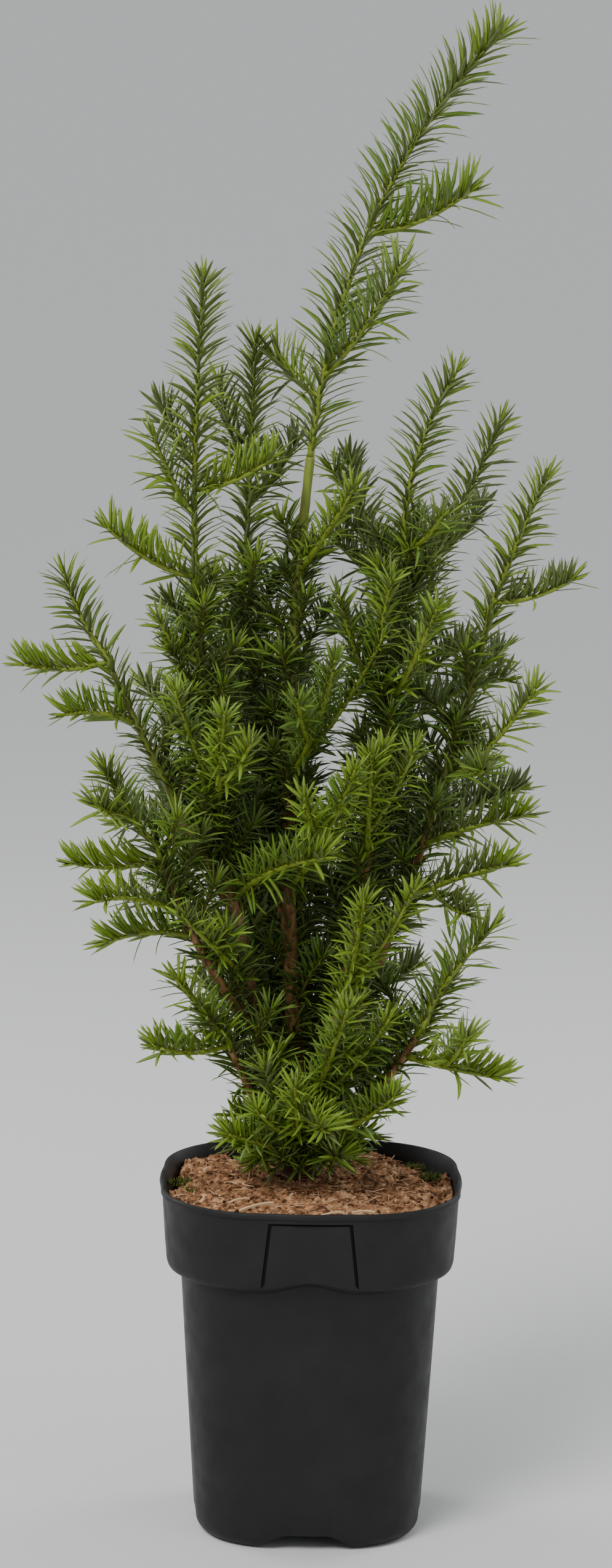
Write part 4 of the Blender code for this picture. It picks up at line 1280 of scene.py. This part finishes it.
def tip_needles(shoot, row, turn, colour, draw):
    """The short needles that close a shoot's tip."""
    end = shoot.line[-1]
    way, side, across = row
    for _ in range(TIP_NEEDLES):
        turn += math.tau / TIP_NEEDLES
        out = swung(side, across, turn)
        aim = swung(way, out, math.radians(draw.uniform(8, 24)))
        length = NEEDLE_LENGTH * draw.uniform(0.3, 0.62)
        if end.z >= LOWEST_NEEDLE_Z and end.z + length * aim.z <= HIGHEST_Z:
            yield end, aim, aim, out, length, NEEDLE_WIDTH * 0.8, max(0, colour - 1)


def shoot_needles(shoot, draw, colour, pitch=NEEDLE_PITCH):
    """All needles of one shoot, from its foot to its tip."""
    rows = frames(shoot.line)
    total = length_of(shoot.line)
    place = shoot.bare
    turn = draw.uniform(0, math.tau)
    while place < total - 0.5:
        share = place / total
        turn += GOLDEN_TURN + draw.gauss(0, 0.12)
        place += pitch * draw.uniform(0.8, 1.2) * (1 - 0.4 * share * share)
        needle = side_needle(shoot, rows, share, turn, colour, draw)
        if needle is not None:
            yield needle
    yield from tip_needles(shoot, rows[-1], turn, colour, draw)


def shoot_tube(shoot):
    """The shoot's own skin, ending in a small bud."""
    line = resampled(shoot.line, TUBE_PITCH)
    rings = []
    last = len(line) - 1
    for i, (point, (_, side, across)) in enumerate(zip(line, frames(line))):
        ring = []
        for k in range(TUBE_SIDES):
            turn = math.tau * k / TUBE_SIDES + i * 0.35
            ridge = 1 + 0.12 * (-1) ** (k + i)
            ring.append(point + swung(side, across, turn) * shoot.radius_at(i / last) * ridge)
        rings.append(ring)
    bud = line[-1] + directions(line)[-1] * BUD_LENGTH
    rings.append([bud.lerp(p, 0.25) for p in rings[-1]])
    return loft(rings)


def mass_with_twigs(row, limbs):
    """Every shoot of one mass, with the needle length of its kind."""
    name = row[0]
    mothers = mass_shoots(row, limbs)
    for mother in mothers:
        mother.needle_share = STRONG.get(name, TUFT_NEEDLE if name in TUFTS else COMMON_NEEDLE)
    if name not in SPRIGGED:
        return mothers
    return [*mothers, *sprig_shoots(name, mothers), *fine_shoots(name, mothers)]


def grow_crown(limbs):
    """All shoots, limb by limb, with one twig piece and one needle piece for each."""
    tones = [plain(name, colour, 0.48, 0.35) for name, colour in NEEDLE_COLOURS]
    tones.append(plain("needle_foot", NEEDLE_FOOT_COLOUR, 0.45))
    tones.append(plain("needle_under", NEEDLE_UNDER_COLOUR, 0.55))
    skins = (plain("shoot_skin", SHOOT_COLOUR, 0.55), plain("twig_skin", TWIG_COLOUR, 0.7))
    for limb_name, limb in limbs.items():
        rows = [row for row in MASSES if row[1] == limb_name]
        shoots = []
        for row in rows:
            shoots += mass_with_twigs(row, limbs)
        shoots += skirt_shoots(limb) if limb_name == "trunk" else spur_shoots(limb_name, limb)
        draw = random.Random(limb_name + " needles")
        needles, shapes, indices = [], [], []
        for shoot in shoots:
            needles += shoot_needles(shoot, draw, colour_class(shoot, draw))
            shape = shoot_tube(shoot)
            shapes.append(shape)
            indices += [1 if shoot.age > 0.3 else 0] * len(shape[1])
        leafy = leafy_stretch(limb_name, limb)
        if leafy is not None:
            needles += shoot_needles(leafy, draw, STEM_NEEDLE_COLOUR, STEM_NEEDLE_PITCH)
        nodes = tuple("foliage_" + row[0] for row in rows)
        ride(mesh_piece("twigs_" + limb_name, *gather(shapes), skins, indices), nodes)
        ride(needle_piece("needles_" + limb_name, needles, tones), nodes)


# ---- stage
CAMERA_PLACE = Vector((-5.27, -2500.0, 851.72))
CAMERA_PITCH = 0.175  # looking down, radians
CAMERA_ROLL = 0.012  # the view leans clockwise, radians
CAMERA_LENS = 108.5
FLOOR_REACH = 600000.0
LIT_PLACE = Vector((0.0, 0.0, 0.4))  # metres
LIGHTS = (
    # name, place and size in metres, power, colour
    ("key", (-1.0, -1.6, 1.9), 1.0, 27.0, (1.0, 0.98, 0.94)),
    ("fill", (1.5, -1.3, 0.9), 1.3, 6.0, (0.95, 0.97, 1.0)),
    ("edge_left", (-1.4, 0.9, 1.0), 0.9, 12.0, (1.0, 1.0, 1.0)),
    ("edge_right", (1.4, 0.9, 1.0), 0.9, 12.0, (1.0, 1.0, 1.0)),
)


def area_light(name, place, size, power, colour):
    """A round light that looks at the plant."""
    data = bpy.data.lights.new(name, 'AREA')
    data.shape = 'DISK'
    data.size = size
    data.energy = power
    data.color = colour
    lamp = placed(name, data)
    lamp.location = place
    lamp.rotation_euler = (LIT_PLACE - Vector(place)).to_track_quat('-Z', 'Y').to_euler()


def make_camera():
    data = bpy.data.cameras.new("camera")
    data.lens = CAMERA_LENS
    camera = placed("camera", data)
    ahead = Vector((0, math.cos(CAMERA_PITCH), -math.sin(CAMERA_PITCH)))
    above = Vector((0, math.sin(CAMERA_PITCH), math.cos(CAMERA_PITCH)))
    right = swung(Vector((1, 0, 0)), above, CAMERA_ROLL)
    above = right.cross(ahead)
    turn = Matrix((right, above, -ahead)).transposed().to_4x4()
    camera.matrix_world = Matrix.Translation(CAMERA_PLACE * MM) @ turn
    bpy.context.scene.camera = camera


def make_stage():
    """The camera, a wide grey floor, a pale sky and the lights."""
    make_camera()
    corners = [(x * FLOOR_REACH, y * FLOOR_REACH, 0) for x, y in ((-1, -1), (1, -1), (1, 1), (-1, 1))]
    grey = plain("floor", (0.66, 0.66, 0.655, 1.0), 0.8, 0.2)
    mesh_piece("floor", corners, [(0, 1, 2, 3)], (grey,), smooth=False)

    world = bpy.data.worlds.new("studio")
    world.use_nodes = True
    sky = world.node_tree.nodes["Background"]
    sky.inputs["Color"].default_value = (0.9, 0.93, 0.96, 1.0)
    sky.inputs["Strength"].default_value = 0.5
    bpy.context.scene.world = world
    sun = bpy.data.lights.new("sun", 'SUN')
    sun.energy = 1.3
    sun.angle = math.radians(25)
    placed("sun", sun).rotation_euler = (math.radians(38), 0, math.radians(-28))
    for light in LIGHTS:
        area_light(*light)


make_pot()
make_soil()
grow_crown(make_limbs())
make_stage()
